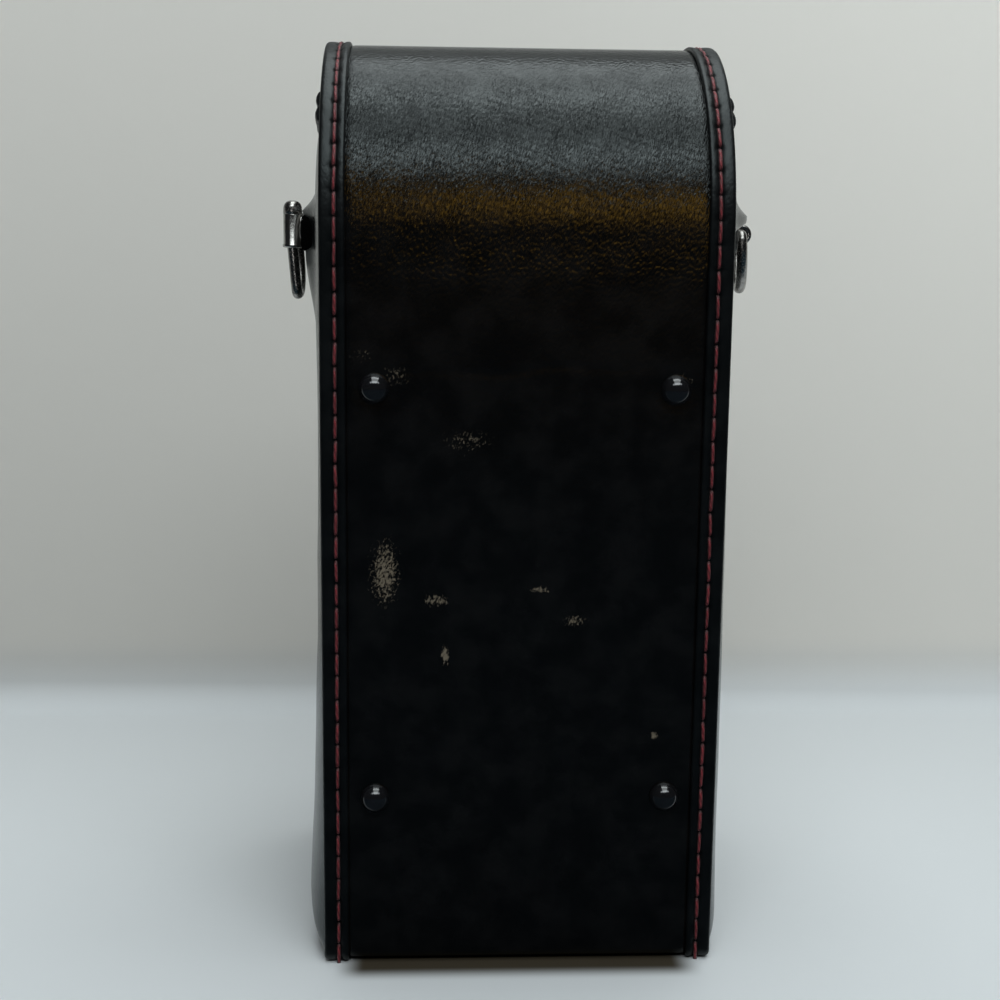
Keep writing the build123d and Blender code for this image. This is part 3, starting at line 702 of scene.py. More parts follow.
def band_lift(s, x, n):
    """Soft unevenness of the leather, a crease between the upper feet and dimples round the feet."""
    free = np.clip((RIM_IN - np.abs(x)) / (4 * MM), 0, 1)
    height = s - BACK_START + CORNER
    places = np.stack([x, s, n * 0], -1)
    lumps = cloud(places, 26 * MM, 2, 1.7) * 0.04
    wrinkles = -np.abs(cloud(places * (1.0, 0.45, 1.0), 4.2 * MM, 3, 5.3)) * 0.025
    arch = np.clip((s - ARCH_START + 12 * MM) / (30 * MM), 0, 1)
    line = 162.8 * MM + 0.9 * MM * np.sin(x / (11 * MM)) + 0.5 * MM * np.sin(x / (4.3 * MM))
    along = np.clip(1.25 - np.abs(x) / (34 * MM), 0, 1)
    crease = -0.05 * bell(height - line, 0.75 * MM) * along
    crease = crease + 0.02 * bell(height - line + 2 * MM, 1.6 * MM) * along
    dimple = 0.0
    for foot_x, foot_z in FEET:
        dimple = dimple - 0.3 * bell(np.hypot(x - foot_x, height - foot_z), 4.6 * MM)
    return on_band(x, n, (lumps + wrinkles * (0.35 + 0.65 * arch)) * free + crease + dimple)


def front_lift(s, x, n):
    free = np.clip((RIM_IN - np.abs(x)) / (4 * MM), 0, 1)
    places = np.stack([x, s, n * 0], -1)
    lumps = cloud(places, 24 * MM, 2, 8.9) * 0.1
    wrinkles = -np.abs(cloud(places * (1.0, 0.5, 1.0), 5 * MM, 3, 9.3)) * 0.05
    return on_band(x, n, (lumps + wrinkles) * free)


def build_band():
    material = leather_material("band_leather", depth=0.15, streaks=1.0, roughness=0.17, wear=0.08, back=True)
    across, heights = band_columns()
    back = swept_piece("band_back", np.linspace(0, LID_STOP, 560), across, heights, False, band_lift)
    finish_piece(back, material, hinge_blend(), ["hinge_leather", "lid_cover"])
    plain = leather_material("front_leather", depth=0.09, streaks=0.7, roughness=0.27, wear=0.08)
    front = swept_piece("band_front", np.linspace(0, MOUTH_STOP, 320), across, heights, True, front_lift)
    finish_piece(front, plain, "case", ["body_cover"])


# Side panels, from rings that shrink from their edge to a middle line
def rounded(points, reach):
    """Closed outline resampled evenly, its corners rounded over reach."""
    loop = np.vstack([points, points[:1]])
    run = np.concatenate([[0], np.cumsum(np.hypot(*np.diff(loop, axis=0).T))])
    count = int(run[-1] / (1.3 * MM))
    even = np.linspace(0, run[-1], count, endpoint=False)
    ring = np.stack([np.interp(even, run, loop[:, 0]), np.interp(even, run, loop[:, 1])], -1)
    width = reach / (run[-1] / count)
    offsets = np.arange(-int(3 * width) - 1, int(3 * width) + 2)
    weights = np.exp(-0.5 * (offsets / width) ** 2)
    weights = weights / weights.sum()
    return sum(weight * np.roll(ring, offset, axis=0) for weight, offset in zip(weights, offsets))


def arch_points(inset, low_angle, high_angle, count=40):
    half = RADIUS - inset
    angles = np.linspace(low_angle, high_angle, count)
    return [(-half * math.cos(a), ARCH + half * math.sin(a)) for a in angles]


def angle_at_parting(inset, above):
    """Angle on the arch, from the back, where the parting line crosses it."""
    low, high = 0.0, math.pi / 2
    half = RADIUS - inset
    for _ in range(40):
        middle = (low + high) / 2
        y, z = -half * math.cos(middle), ARCH + half * math.sin(middle)
        low, high = (middle, high) if z < parting_z(y, above) else (low, middle)
    return low


# Outline of a panel inside the case's, its inner face, and how far its surface starts below the rim's
PANEL_INSET = 2.2 * MM
PANEL_FLOOR = 51.0 * MM
TUCK = 0.12 * MM


def body_outline(below):
    half = RADIUS - PANEL_INSET
    points = [(half, PANEL_INSET), (-half, PANEL_INSET)]
    points += arch_points(PANEL_INSET, 0.0, angle_at_parting(PANEL_INSET, -below))
    points.append((half, parting_z(half, -below)))
    return rounded(np.array(points), 2.2 * MM)


def lid_outline(above):
    half = RADIUS - PANEL_INSET
    front = parting_z(half, above)
    end = math.pi - math.asin(min(1.0, max(0.0, (front - ARCH) / half)))
    start = angle_at_parting(PANEL_INSET, above)
    return rounded(np.array(arch_points(PANEL_INSET, start, end, 90)), 0.9 * MM)


def dome_piece(name, outline, sign, middle, heights):
    """Closed shell: rings from the outline to the middle line, with heights as x."""
    inner = np.stack([np.zeros(len(outline)), np.clip(outline[:, 1], *middle)], -1)
    reach = np.hypot(*(outline - inner).T)
    widest = reach.max()
    near = np.array([0, 0.25, 0.6, 1.0, 1.5, 2.1, 2.8, 3.6, 4.5, 5.6, 6.9]) * MM
    depths = np.concatenate([near, np.arange(8.2 * MM, widest, 1.35 * MM), [widest]])
    share = (depths / widest)[:, None, None]
    rings = outline[None] * (1 - share) + inner[None] * share
    x = heights(rings[..., 0], rings[..., 1], share[:, :, 0] * reach[None, :])
    places = np.concatenate([sign * x[..., None], rings], -1)
    base = np.column_stack([np.full(len(outline), sign * PANEL_FLOOR), outline])
    places = np.concatenate([base[None], places])
    round_base(places)
    return make_piece(name, places, tube_faces(*places.shape[:2], last_cap=False), places[..., 1:].copy())


# How far each stuffed side swells, at heights up the case
SWELL_HEIGHTS = (0.0, 16.0, 50.0, 87.0, 117.0, 147.0, 177.0, 224.0)
SWELL = {
    "left": (5.0, 5.2, 3.8, 2.7, 2.2, 2.0, 2.2, 1.6),
    "right": (3.9, 3.9, 3.9, 3.8, 3.2, 2.6, 2.4, 1.8),
}
# Where the mound starts to rise and where it is full, from the back, and half the plate's pocket
MOUND_RUN = {"left": (-35.0, -22.0, 31.0), "right": (-46.0, -31.0, 22.0)}


def panel_heights(side):
    """Stuffed side: swells slowly from the rim, and flares out over the lug's plate."""
    first, full, pocket = [value * MM for value in MOUND_RUN[side]]

    def heights(y, z, depth):
        swell = np.interp(z / MM, SWELL_HEIGHTS, SWELL[side]) * MM
        places = np.stack([y, z, y * 0], -1)
        soft = cloud(places, 30 * MM, 2, 2.2) * sizes().panel_softness * step(depth, 1 * MM, 9 * MM)
        pull = np.cos(2 * math.pi * (y + z) / sizes().stitch_pitch) * np.exp(-depth / (1.8 * MM)) * 0.08 * MM
        x = RIM_OUT - TUCK + swell * (1 - np.exp(-depth / (8 * MM))) + soft + pull
        lip = LUG_Z + 5.4 * MM
        top = MOUND_HIGH.z + 3 * MM
        flare = np.clip((top - z) / (top - lip), 0, 1) ** 2.3
        end = step(np.abs(y), pocket, pocket + 2 * MM)
        soft_end = step(np.abs(y), pocket - 5 * MM, pocket + 3 * MM)
        taper = step(z, MOUND_LOW.z - 10 * MM, LUG_Z - 5 * MM)
        taper = taper * (1 - soft_end) + step(z, LUG_Z + 0.3 * MM, LUG_Z + 4.0 * MM) * soft_end
        along = step(y, first, full) * (1 - step(y, 20 * MM, MOUND_HIGH.y + 3 * MM))
        seat = MOUND_HIGH.x - TUCK
        raised = seat + 1.1 * MM * np.maximum(step(z, lip - 1.8 * MM, lip + 0.8 * MM), end)
        return x + (raised - x) * np.minimum(flare, taper) * along

    return heights


def lid_side_heights(y, z, depth):
    places = np.stack([y, z, y * 0], -1)
    soft = cloud(places, 16 * MM, 2, 4.4) * 0.12 * MM * step(depth, 1 * MM, 6 * MM)
    return RIM_OUT - TUCK + 0.7 * MM * (1 - np.exp(-depth / (8 * MM))) + soft


def build_panels():
    look = {"depth": 0.04, "streaks": 0.3, "roughness": 0.24, "wear": 0.2, "pebble": 1.1, "gloss": 0.66}
    material = leather_material("panel_leather", grime=True, **look)
    body_middle = (46 * MM, 170 * MM)
    lid_middle = (223.5 * MM, 223.5 * MM)
    for side, sign in SIDES:
        outline = body_outline(0.9 * MM)
        panel = dome_piece(f"side_panel_{side}", outline, sign, body_middle, panel_heights(side))
        replaced = [f"{node}_{side}" for node in ("body_side_cover", "side_stuffing", "lug_mound")]
        finish_piece(panel, material, "case", replaced)
        cheek = dome_piece(f"lid_side_{side}", lid_outline(1.0 * MM), sign, lid_middle, lid_side_heights)
        finish_piece(cheek, material, "lid")


# Binding along the lid's edge: its section in millimetres, up from the edge and out from the leather
BINDING_SECTION = (
    (0.1, -1.0), (0.0, 0.2), (0.25, 0.72), (0.9, 1.05), (1.8, 1.18), (2.8, 1.12), (3.6, 0.9), (4.1, 0.62),
    (4.5, 0.5), (4.9, 0.62), (5.5, 0.9), (6.4, 1.08), (7.4, 1.06), (8.3, 0.84), (8.8, 0.5), (9.0, 0.1),
    (9.0, -1.0),
)
BINDING_WIDTH = 9.0 * MM
BINDING_INSET = 1.2 * MM
BINDING_CLEAR = 0.25 * MM


def binding_ends(above):
    """Back and front end of the line that runs this far above the parting."""
    half = RADIUS - BINDING_INSET
    back = -half * math.cos(angle_at_parting(BINDING_INSET, above))
    front = half
    for _ in range(30):
        z = parting_z(front, above)
        front = math.sqrt(max(0.0, half**2 - max(0.0, z - ARCH) ** 2))
    return back, front


def front_arc(above, height):
    """Point on the lid's front, this far up the arch from its lower edge and this far out from the band."""
    start = math.asin((LID_FRONT + 0.6 * MM - ARCH) / (RADIUS - PROUD))
    angle = start + above / (RADIUS - PROUD)
    half = RADIUS - PROUD + height
    return half * math.cos(angle), ARCH + half * math.sin(angle)


def binding_piece(name, line, material, replaced):
    """Strip with a ridge each side of its seam.

    line gives, at a height above its edge, the run, the share of each end's rounding, and the places.
    """
    rows, surface = [], []
    for above, height in BINDING_SECTION:
        run, share, places = line(above * MM)
        taper = np.sqrt(np.clip(1 - (1 - np.clip(share, 0, 1)) ** 2, 0, 1))
        ripple = 0.07 * np.sin(2 * math.pi * run / sizes().stitch_pitch) if height > 0.5 else 0.0
        lifted = (height + ripple) * taper if height > 0 else np.full(len(run), height)
        rows.append(places(lifted * MM))
        surface.append(np.column_stack([run, np.full(len(run), above * MM)]))
    faces = tube_faces(len(rows[0]), len(rows))
    piece = make_piece(name, np.stack(rows, 1), faces, np.stack(surface, 1))
    finish_piece(piece, material, "lid", replaced)


def side_line(sign):
    ends = [np.linspace(0, 0.03, 6), np.linspace(0.045, 0.955, 120), np.linspace(0.97, 1, 6)]
    along = np.concatenate(ends)

    def line(above):
        above = above + BINDING_CLEAR
        back, front = binding_ends(above)
        y = back + (front - back) * along
        share = np.minimum(along, 1 - along) * (front - back) / (1.6 * MM)
        return y, share, lambda lifted: np.column_stack([sign * (RIM_OUT + lifted), y, parting_z(y, above)])

    return line


def front_line(above):
    edge = RIM_IN - 0.15 * MM
    middle = np.linspace(-edge + 1.0 * MM, edge - 1.0 * MM, 110)
    x = np.concatenate([[-edge, -edge + 0.3 * MM], middle, [edge - 0.3 * MM, edge]])
    share = (edge - np.abs(x) + 0.3 * MM) / (1.3 * MM)
    return x, share, lambda lifted: np.column_stack([x, *front_arc(above, lifted)])


def build_bindings():
    look = {"depth": 0.08, "streaks": 0.15, "roughness": 0.4, "wear": 0.4, "pebble": 0.9}
    material = leather_material("binding_leather", **look)
    for side, sign in SIDES:
        binding_piece(f"lid_binding_{side}", side_line(sign), material, [f"lid_side_binding_{side}"])
    binding_piece("lid_binding_front", front_line, material, ["lid_front_binding"])


# Stitches: share of the pitch that shows, depth of a needle hole, and height over the leather
STITCH_SHARE = 0.86
STITCH_SINK = 1.15 * MM
RIM_RISE = -0.4 * MM
BINDING_RISE = 0.1 * MM


def stitch_tree():
    """Stitches along a curve: one bent length of thread on each point, its ends sunk in the needle holes."""
    name = "Stitch row"
    if name in bpy.data.node_groups:
        return bpy.data.node_groups[name]
    inputs = (
        ("Geometry", "Geometry", None),
        ("Stitches", "Int", 10),
        ("Seed", "Int", 1),
        ("Length", "Float", 5.8 * MM),
        ("Thread Radius", "Float", 0.5 * MM),
        ("Sink", "Float", 0.9 * MM),
        ("Rise", "Float", 0.3 * MM),
        ("Material", "Material", None),
    )
    tree, t, given, sink = node_group(name, "GeometryNodeTree", inputs, (("Geometry", "Geometry"),))

    def geometry(kind, inputs=None, **settings):
        return t.add(f"GeometryNode{kind}", inputs, **settings)[0]

    def function(kind, inputs, **settings):
        return t.add(f"FunctionNode{kind}", inputs, **settings)[0]

    def point(x, z):
        return t.add("ShaderNodeCombineXYZ", {"X": x, "Z": z})[0]

    def store(shape, label, value):
        inputs = {"Geometry": shape, "Name": label, "Value": value}
        return geometry("StoreNamedAttribute", inputs, data_type="FLOAT", domain="POINT")

    def draw(low, high):
        inputs = {"Min": low, "Max": high, "Seed": given["Seed"]}
        return function("RandomValue", inputs, data_type="FLOAT_VECTOR")

    half = t.times(given["Length"], 0.5)
    shoulder = t.times(half, 0.93)
    depth = t.times(given["Sink"], -1.0)
    top = t.times_plus(given["Rise"], 1.333, given["Sink"])
    lift = t.times_plus(given["Sink"], 0.333, t.calc("SUBTRACT", top, given["Sink"]))
    inputs = {
        "Resolution": 12,
        "Start": point(t.times(half, -1.0), depth),
        "Start Handle": point(t.times(shoulder, -1.0), lift),
        "End Handle": point(shoulder, lift),
        "End": point(half, depth),
    }
    factor = t.add("GeometryNodeSplineParameter")["Factor"]
    along = store(geometry("CurvePrimitiveBezierSegment", inputs), "along", factor)
    ring = geometry("CurvePrimitiveCircle", {"Resolution": 8, "Radius": given["Thread Radius"]})
    around = store(ring, "around", factor)
    stitch = geometry("CurveToMesh", {"Curve": along, "Profile Curve": around, "Fill Caps": True})
    stitch = store(stitch, "facing", t.split(geometry("InputNormal"))["Z"])
    path = geometry("MeshToCurve", {"Mesh": given["Geometry"]})
    spaced = geometry("ResampleCurve", {"Curve": path, "Count": given["Stitches"]}, mode="COUNT")
    inputs = {"Name": "outward"}
    outward = t.add("GeometryNodeInputNamedAttribute", inputs, data_type="FLOAT_VECTOR")["Attribute"]
    lying = function("AlignRotationToVector", {"Vector": geometry("InputTangent")}, axis="X")
    inputs = {"Rotation": lying, "Vector": outward}
    standing = function("AlignRotationToVector", inputs, axis="Z", pivot_axis="X")
    tilt = function("EulerToRotation", {"Euler": draw((-0.03, -0.02, -0.045), (0.03, 0.02, 0.045))})
    inputs = {"Rotation": standing, "Rotate By": tilt}
    turned = function("RotateRotation", inputs, rotation_space="LOCAL")
    stretch = draw((0.93, 0.9, 0.82), (1.03, 1.1, 1.15))
    inputs = {"Points": spaced, "Instance": stitch, "Rotation": turned, "Scale": stretch}
    real = geometry("RealizeInstances", {"Geometry": geometry("InstanceOnPoints", inputs)})
    smooth = geometry("SetShadeSmooth", {"Geometry": real, "Shade Smooth": True})
    t.feed(sink, {0: geometry("SetMaterial", {"Geometry": smooth, "Material": given["Material"]})})
    return tree


def run_nodes(tree, source, name, values):
    """Runs a geometry tree on an object and returns the result as a plain mesh object."""
    modifier = source.modifiers.new("rows", "NODES")
    modifier.node_group = tree
    sockets = {item.name: item.identifier for item in tree.interface.items_tree if item.in_out == "INPUT"}
    for label, value in values.items():
        modifier[sockets[label]] = value
    bpy.context.view_layer.update()
    graph = bpy.context.evaluated_depsgraph_get()
    mesh = bpy.data.meshes.new_from_object(source.evaluated_get(graph))
    mesh.name = name
    made = add_object(name, mesh)
    old = source.data
    bpy.data.objects.remove(source)
    bpy.data.meshes.remove(old)
    return made


def seam_path(points, outwards):
    """Edge chain with its outward direction stored on each point."""
    mesh = bpy.data.meshes.new("seam_path")
    edges = [(index, index + 1) for index in range(len(points) - 1)]
    mesh.from_pydata([tuple(point) for point in points], edges, [])
    attribute = mesh.attributes.new("outward", "FLOAT_VECTOR", "POINT")
    attribute.data.foreach_set("vector", np.asarray(outwards, np.float32).ravel())
    return add_object("seam_path", mesh)


def stitch_row(name, points, outwards, count, pitch, material, rise, seed):
    values = {
        "Stitches": count,
        "Seed": seed,
        "Length": pitch * STITCH_SHARE,
        "Thread Radius": sizes().thread_radius,
        "Sink": STITCH_SINK,
        "Rise": rise,
        "Material": material,
    }
    return run_nodes(stitch_tree(), seam_path(points, outwards), name, values)


def rail_row(name, seam, sign, front, material, seed):
    """Stitches in the rim's groove, centred between its needle holes."""
    holes = stitch_stops(*seam)
    pitch = holes[1] - holes[0]
    path = rail(np.linspace(holes[0] + pitch / 2, holes[-1] - pitch / 2, 8 * (len(holes) - 2) + 1))
    mirror = -1 if front else 1
    points = [(sign * SEAM_X, mirror * y, z) for y, z, _, _ in path]
    outwards = [(0, mirror * ny, nz) for _, _, ny, nz in path]
    return stitch_row(name, points, outwards, len(holes) - 1, pitch, material, RIM_RISE, seed)


def binding_row(name, points, outward, run, material, seed, replaced=()):
    """Stitches along the middle of the binding, one pitch apart after rounding."""
    count = round(run / sizes().stitch_pitch) + 1
    outwards = [outward] * len(points)
    row = stitch_row(name, points, outwards, count, run / (count - 1), material, BINDING_RISE, seed)
    finish_piece(row, material, "lid", replaced)


def build_stitches():
    material = thread_material()
    seed = sizes().seed
    over = 0.62 * MM
    for side, sign in SIDES:
        back = rail_row(f"rim_stitches_back_{side}", BACK_SEAM, sign, False, material, seed + sign)
        replaced = [f"body_rim_thread_{side}", f"lid_rim_thread_{side}"]
        finish_piece(back, material, hinge_blend(), replaced)
        front = rail_row(f"rim_stitches_front_{side}", FRONT_SEAM, sign, True, material, seed + 2 + sign)
        finish_piece(front, material, "case")
        middle = BINDING_WIDTH / 2 + BINDING_CLEAR
        low, high = binding_ends(middle)
        reach = np.linspace(low + 5 * MM, high - 5 * MM, 60)
        points = [(sign * (RIM_OUT + over), y, parting_z(y, middle)) for y in reach]
        run = (reach[-1] - reach[0]) / math.cos(TILT)
        replaced = [f"lid_binding_thread_{side}"]
        binding_row(f"lid_stitches_{side}", points, (sign, 0, 0), run, material, seed + 5 + sign, replaced)
    y, z = front_arc(BINDING_WIDTH / 2, over)
    reach = np.linspace(-RIM_IN + 4.5 * MM, RIM_IN - 4.5 * MM, 40)
    radius = math.hypot(y, z - ARCH)
    outward = (0, y / radius, (z - ARCH) / radius)
    run = reach[-1] - reach[0]
    binding_row("lid_stitches_front", [(x, y, z) for x in reach], outward, run, material, seed + 9)


# Turned pieces
def lathe(profile, centre, axis):
    """Places and faces of a closed profile of (radius, height) in millimetres turned about an axis."""
    segments = 48
    axis = Vector(axis).normalized()
    side = axis.orthogonal().normalized()
    other = axis.cross(side)
    places = []
    for index in range(segments):
        angle = 2 * math.pi * index / segments
        out = side * math.cos(angle) + other * math.sin(angle)
        places += [Vector(centre) + out * (radius * MM) + axis * (height * MM) for radius, height in profile]
    return places, [[a, d, c, b] for a, b, c, d in grid_faces(segments, len(profile), closed=True)]


def joined(parts):
    """One list of places and faces from several."""
    places, faces = [], []
    for points, quads in parts:
        start = len(places)
        places += [tuple(point) for point in points]
        faces += [[start + corner for corner in quad] for quad in quads]
    return places, faces


# Profiles of turned pieces: radius and height in millimetres
FOOT_PROFILE = (
    (0.0, 3.4), (0.7, 3.36), (1.4, 3.22), (2.05, 2.96), (2.65, 2.56), (3.15, 2.05), (3.55, 1.45),
    (3.8, 0.9), (3.92, 0.5), (4.0, 0.28), (4.0, 0.1), (3.9, -0.05), (3.6, -0.4), (0.0, -0.4),
)
SLEEVE_PROFILE = (
    (1.62, -4.9), (2.4, -4.9), (2.8, -4.75), (2.92, -4.4), (2.86, -4.05), (2.65, -3.8), (2.65, 4.3),
    (2.6, 4.4), (1.62, 4.4), (1.58, 4.0), (1.58, -4.5), (1.62, -4.9),
)
DISC_PROFILE = (
    (0.0, 0.15), (3.6, 0.0), (4.5, 0.0), (4.75, 0.12), (4.7, 0.32), (3.9, 0.62), (2.6, 1.1), (1.4, 1.35),
    (0.0, 1.4),
)
# Domed cap over the upper corner of the left ring
CAP_PROFILE = (
    (0.0, 8.2), (0.9, 8.12), (1.7, 7.8), (2.25, 7.2), (2.55, 6.4), (2.65, 5.4), (2.65, 4.5), (2.6, 4.42),
    (0.0, 4.42),
)


def build_feet():
    parts = [lathe(FOOT_PROFILE, (x, BACK, z), (0, -1, 0)) for x, z in FEET]
    finish_piece(make_piece("feet", *joined(parts)), foot_material(), "case", ["back_feet"])


# Strap fittings
RING_WIRE = 1.5 * MM
RING_HALF = 11.8 * MM
RING_LEG = 3.4 * MM
RING_CORNER = 1.8 * MM


def ring_line():
    """Closed centre line of the ring, across and down from its bar."""

    def arc(across, down, radius, first, last, count):
        angles = np.radians(np.linspace(first, last, count))
        return [(across + radius * math.cos(a), down + radius * math.sin(a)) for a in angles]

    flat = RING_HALF - RING_CORNER
    points = arc(flat, RING_CORNER, RING_CORNER, -90, 0, 7)
    points += arc(0.0, RING_LEG, RING_HALF, 0, 180, 33)
    points += arc(-flat, RING_CORNER, RING_CORNER, 180, 270, 7)
    return points + [(across, 0.0) for across in np.linspace(-flat, flat, 12)[1:-1]]


def wire_loop(points):
    """Closed round wire through places in one plane."""
    count, segments = len(points), 14
    centre = sum(points, Vector()) / count
    normal = (points[0] - centre).cross(points[count // 4] - centre).normalized()
    places = []
    for index in range(count):
        side = (points[(index + 1) % count] - points[index - 1]).normalized().cross(normal)
        for part in range(segments):
            angle = 2 * math.pi * part / segments
            places.append(points[index] + (side * math.cos(angle) + normal * math.sin(angle)) * RING_WIRE)
    return places, grid_faces(count, segments, around=True, closed=True)


# The clip's web: distance out from its base, and half its length and thickness there, in millimetres
WEB = ((0.3, 3.9, 1.3), (1.4, 3.6, 1.2), (2.6, 3.3, 1.5), (3.2, 3.2, 1.6))
WEB_CORNERS = ((-1, -0.7), (-0.9, -1), (0.9, -1), (1, -0.7), (1, 0.7), (0.9, 1), (-0.9, 1), (-1, 0.7))


def build_clip(side, sign, axis, material, base_material):
    """Rolled sleeve on a web, and the dished base that they stand on."""
    base_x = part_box(f"lug_eyelet_{side}")[0 if sign < 0 else 1].x + sign * 0.1 * MM
    foot, out, along = Vector((base_x, 0, LUG_Z)), Vector((sign, 0, 0)), Vector(axis)
    wide = out.cross(along)
    web = []
    for reach, half, thick in WEB:
        middle = foot + out * reach * MM
        web += [middle + along * (a * half * MM) + wide * (b * thick * MM) for a, b in WEB_CORNERS]
    sleeve = lathe(SLEEVE_PROFILE, (sign * BARREL_X, 0, LUG_Z), axis)
    piece = make_piece(f"clip_{side}", *joined([sleeve, (web, tube_faces(4, 8))]))
    finish_piece(piece, material, f"clip_{side}", [f"strap_clip_{side}"])
    base = make_piece(f"clip_base_{side}", *lathe(DISC_PROFILE, (base_x, 0, LUG_Z), (sign, 0, 0)))
    finish_piece(base, base_material, f"clip_{side}")


# Back end of each black pad, and its front end, in millimetres from the middle
SHADE_PAD_BACK = {"left": -29.0, "right": -20.0}
SHADE_PAD_FRONT = 22.0


def build_shade_pad(side, sign, material):
    """Dull black pad between the mound and the plate of the lug, with no gloss: it stands for the dark plate
    and for painted shade in the recess under the mound's lip.
    """
    middle = (SHADE_PAD_BACK[side] + SHADE_PAD_FRONT) / 2
    half = (SHADE_PAD_FRONT - SHADE_PAD_BACK[side]) / 2
    turn = np.linspace(0, 2 * math.pi, 49)[:-1]
    across, up = [np.sign(wave) * np.abs(wave) ** 0.35 for wave in (np.cos(turn), np.sin(turn))]
    rows = []
    for out, inset in ((54.5, 0.0), (58.5, 0.0), (58.9, 0.4)):
        y = middle + (half - inset) * across
        z = LUG_Z / MM - 0.4 + (4.9 - inset) * up
        rows.append(np.column_stack([np.full(len(turn), sign * out * MM), y * MM, z * MM]))
    pad = make_piece(f"lug_backing_{side}", rows, tube_faces(3, len(turn)), smooth=False)
    finish_piece(pad, material, "case")


def build_ring(side, across, down, centre, material, cap=False):
    parts = [wire_loop([Vector(centre) + Vector(across) * a + Vector(down) * b for a, b in ring_line()])]
    if cap:
        parts.append(lathe(CAP_PROFILE, (centre[0], centre[1], LUG_Z), (0, 0, 1)))
    ring = make_piece(f"ring_{side}", *joined(parts))
    finish_piece(ring, material, f"ring_{side}", [f"strap_ring_{side}"])


# How far the rings hang out of true in their sleeves
LEFT_LEAN = math.radians(5.0)
LEFT_TURN = math.radians(2.0)
RIGHT_SWING = math.radians(3.0)
RIGHT_TURN = math.radians(6.0)


def build_fittings():
    nickel = metal_material("tarnished_nickel", shade(colours().nickel, 0.75)[:3], 0.15, 0.5)
    # painted shade: a copy of the nickel at a third of its light, with heavier tarnish and some rust, for the
    # clip bases and lug plates in the recess under the mound's lip
    dark = metal_material("nickel_with_painted_shade", shade(colours().nickel, 0.3)[:3], 0.45, 0.9, 0.3)
    worn = metal_material("worn_ring", shade(colours().nickel, 0.6)[:3], 0.22, 0.85, 0.9)
    build_clip("left", -1, (0, 0, 1), nickel, dark)
    build_clip("right", 1, (0, 1, 0), nickel, dark)
    lean = (math.sin(LEFT_LEAN), 0, -math.cos(LEFT_LEAN))
    turned = (math.sin(LEFT_TURN), math.cos(LEFT_TURN), 0)
    build_ring("left", lean, turned, (-BARREL_X, 0, LUG_Z - RING_SLIDE - 0.6 * MM), worn, cap=True)
    swing = (math.sin(RIGHT_SWING), 0, -math.cos(RIGHT_SWING))
    across = (-math.sin(RIGHT_TURN), -math.cos(RIGHT_TURN), 0)
    build_ring("right", across, swing, (BARREL_X, 0, LUG_Z), worn)
    # painted shade: a black finish with no gloss for the pad round the lug's plate
    shade_pad_finish, t, shader = new_material("black_pad_painted_shade")
    t.feed(shader, {"Base Color": (0.002, 0.002, 0.002, 1), "Roughness": 1.0, "Specular IOR Level": 0.0})
    for side, sign in SIDES:
        build_shade_pad(side, sign, shade_pad_finish)
        for node in ("lug_plate", "lug_rivets", "lug_eyelet", "swivel_post"):
            dress_node(f"{node}_{side}", dark)
    dress_node("foot_washers", nickel)


LATCH = "lock_case lock_rivets push_button button_spring hasp_leaf hasp_rivets hasp_pin hasp".split()


def build_latch():
    chrome = metal_material("chrome_plate", colours().chrome, 0.2, 0.35)
    for name in LATCH:
        dress_node(name, chrome)


# Inside: cloth glued to the boards, and foam
LINING_X = lining_high.x - 1.6 * MM
LINING_INSET = RADIUS - lining_high.y + 1.6 * MM
LINING_STEP = 2.6 * MM
CLOTH = 1.3 * MM


def mailbox():
    """Rings of places over the inside of the case, from one side's middle to the other's."""
    half = RADIUS - LINING_INSET
    floor = band_low.z + LINING_INSET - PROUD
    points = np.array([(half, floor), (-half, floor)] + arch_points(LINING_INSET, 0.0, math.pi, 60))
    outline = rounded(points, 1.6 * MM)[::2]
    middle = np.stack([np.zeros(len(outline)), np.clip(outline[:, 1], 45 * MM, ARCH)], -1)
    shares = np.linspace(1, 0, 17)
    rings = [(-LINING_X, share) for share in shares[::-1]]
    rings += [(x, 1.0) for x in np.linspace(-LINING_X, LINING_X, round(2 * LINING_X / LINING_STEP))[1:-1]]
    rings += [(LINING_X, share) for share in shares]
    ones = np.ones(len(outline))
    rings = [np.column_stack([ones * x, middle * (1 - share) + outline * share]) for x, share in rings]
    return np.stack(rings)


def build_lining(name, above, keep_above, body, material):
    """Pile cloth on the boards, cut this far above the parting."""
    places = mailbox()
    puff = cloud(places, 9 * MM, 2, 6.1)[..., None] * 0.25 * MM + 0.25 * MM
    inward = np.array([0, 0, 110 * MM]) - places
    inward[..., 2] = np.where(np.abs(inward[..., 2]) > 95 * MM, inward[..., 2], 0)
    inward = inward / np.maximum(np.linalg.norm(inward, axis=-1, keepdims=True), 1e-9)
    places = places + inward * puff
    shape = make_piece(name, places, grid_faces(*places.shape[:2], around=True))
    mesh = bmesh.new()
    mesh.from_mesh(shape.data)
    cut = {
        "geom": mesh.verts[:] + mesh.edges[:] + mesh.faces[:],
        "dist": 1e-6,
        "plane_co": Vector((0, HINGE.y, parting_z(HINGE.y, above))),
        "plane_no": Vector((0, math.sin(TILT), math.cos(TILT))),
    }
    bmesh.ops.bisect_plane(mesh, clear_outer=not keep_above, clear_inner=keep_above, **cut)
    mesh.to_mesh(shape.data)
    mesh.free()
    wall = shape.modifiers.new("wall", "SOLIDIFY")
    wall.thickness = CLOTH
    wall.offset = 1.0
    wall.use_even_offset = True
    bpy.context.view_layer.update()
    solid = bpy.data.meshes.new_from_object(shape.evaluated_get(bpy.context.evaluated_depsgraph_get()))
    shape.modifiers.clear()
    shape.data = solid
    tidy_mesh(solid)
    finish_piece(shape, material, body, [name.replace("cloth", "lining")])


POCKET = 36.0 * MM
POCKET_DEPTH = 16.0 * MM
POCKET_ROLL = 2.4 * MM
SEAT_EDGE = 3.0 * MM
SEAT_SQUARENESS = 14.0


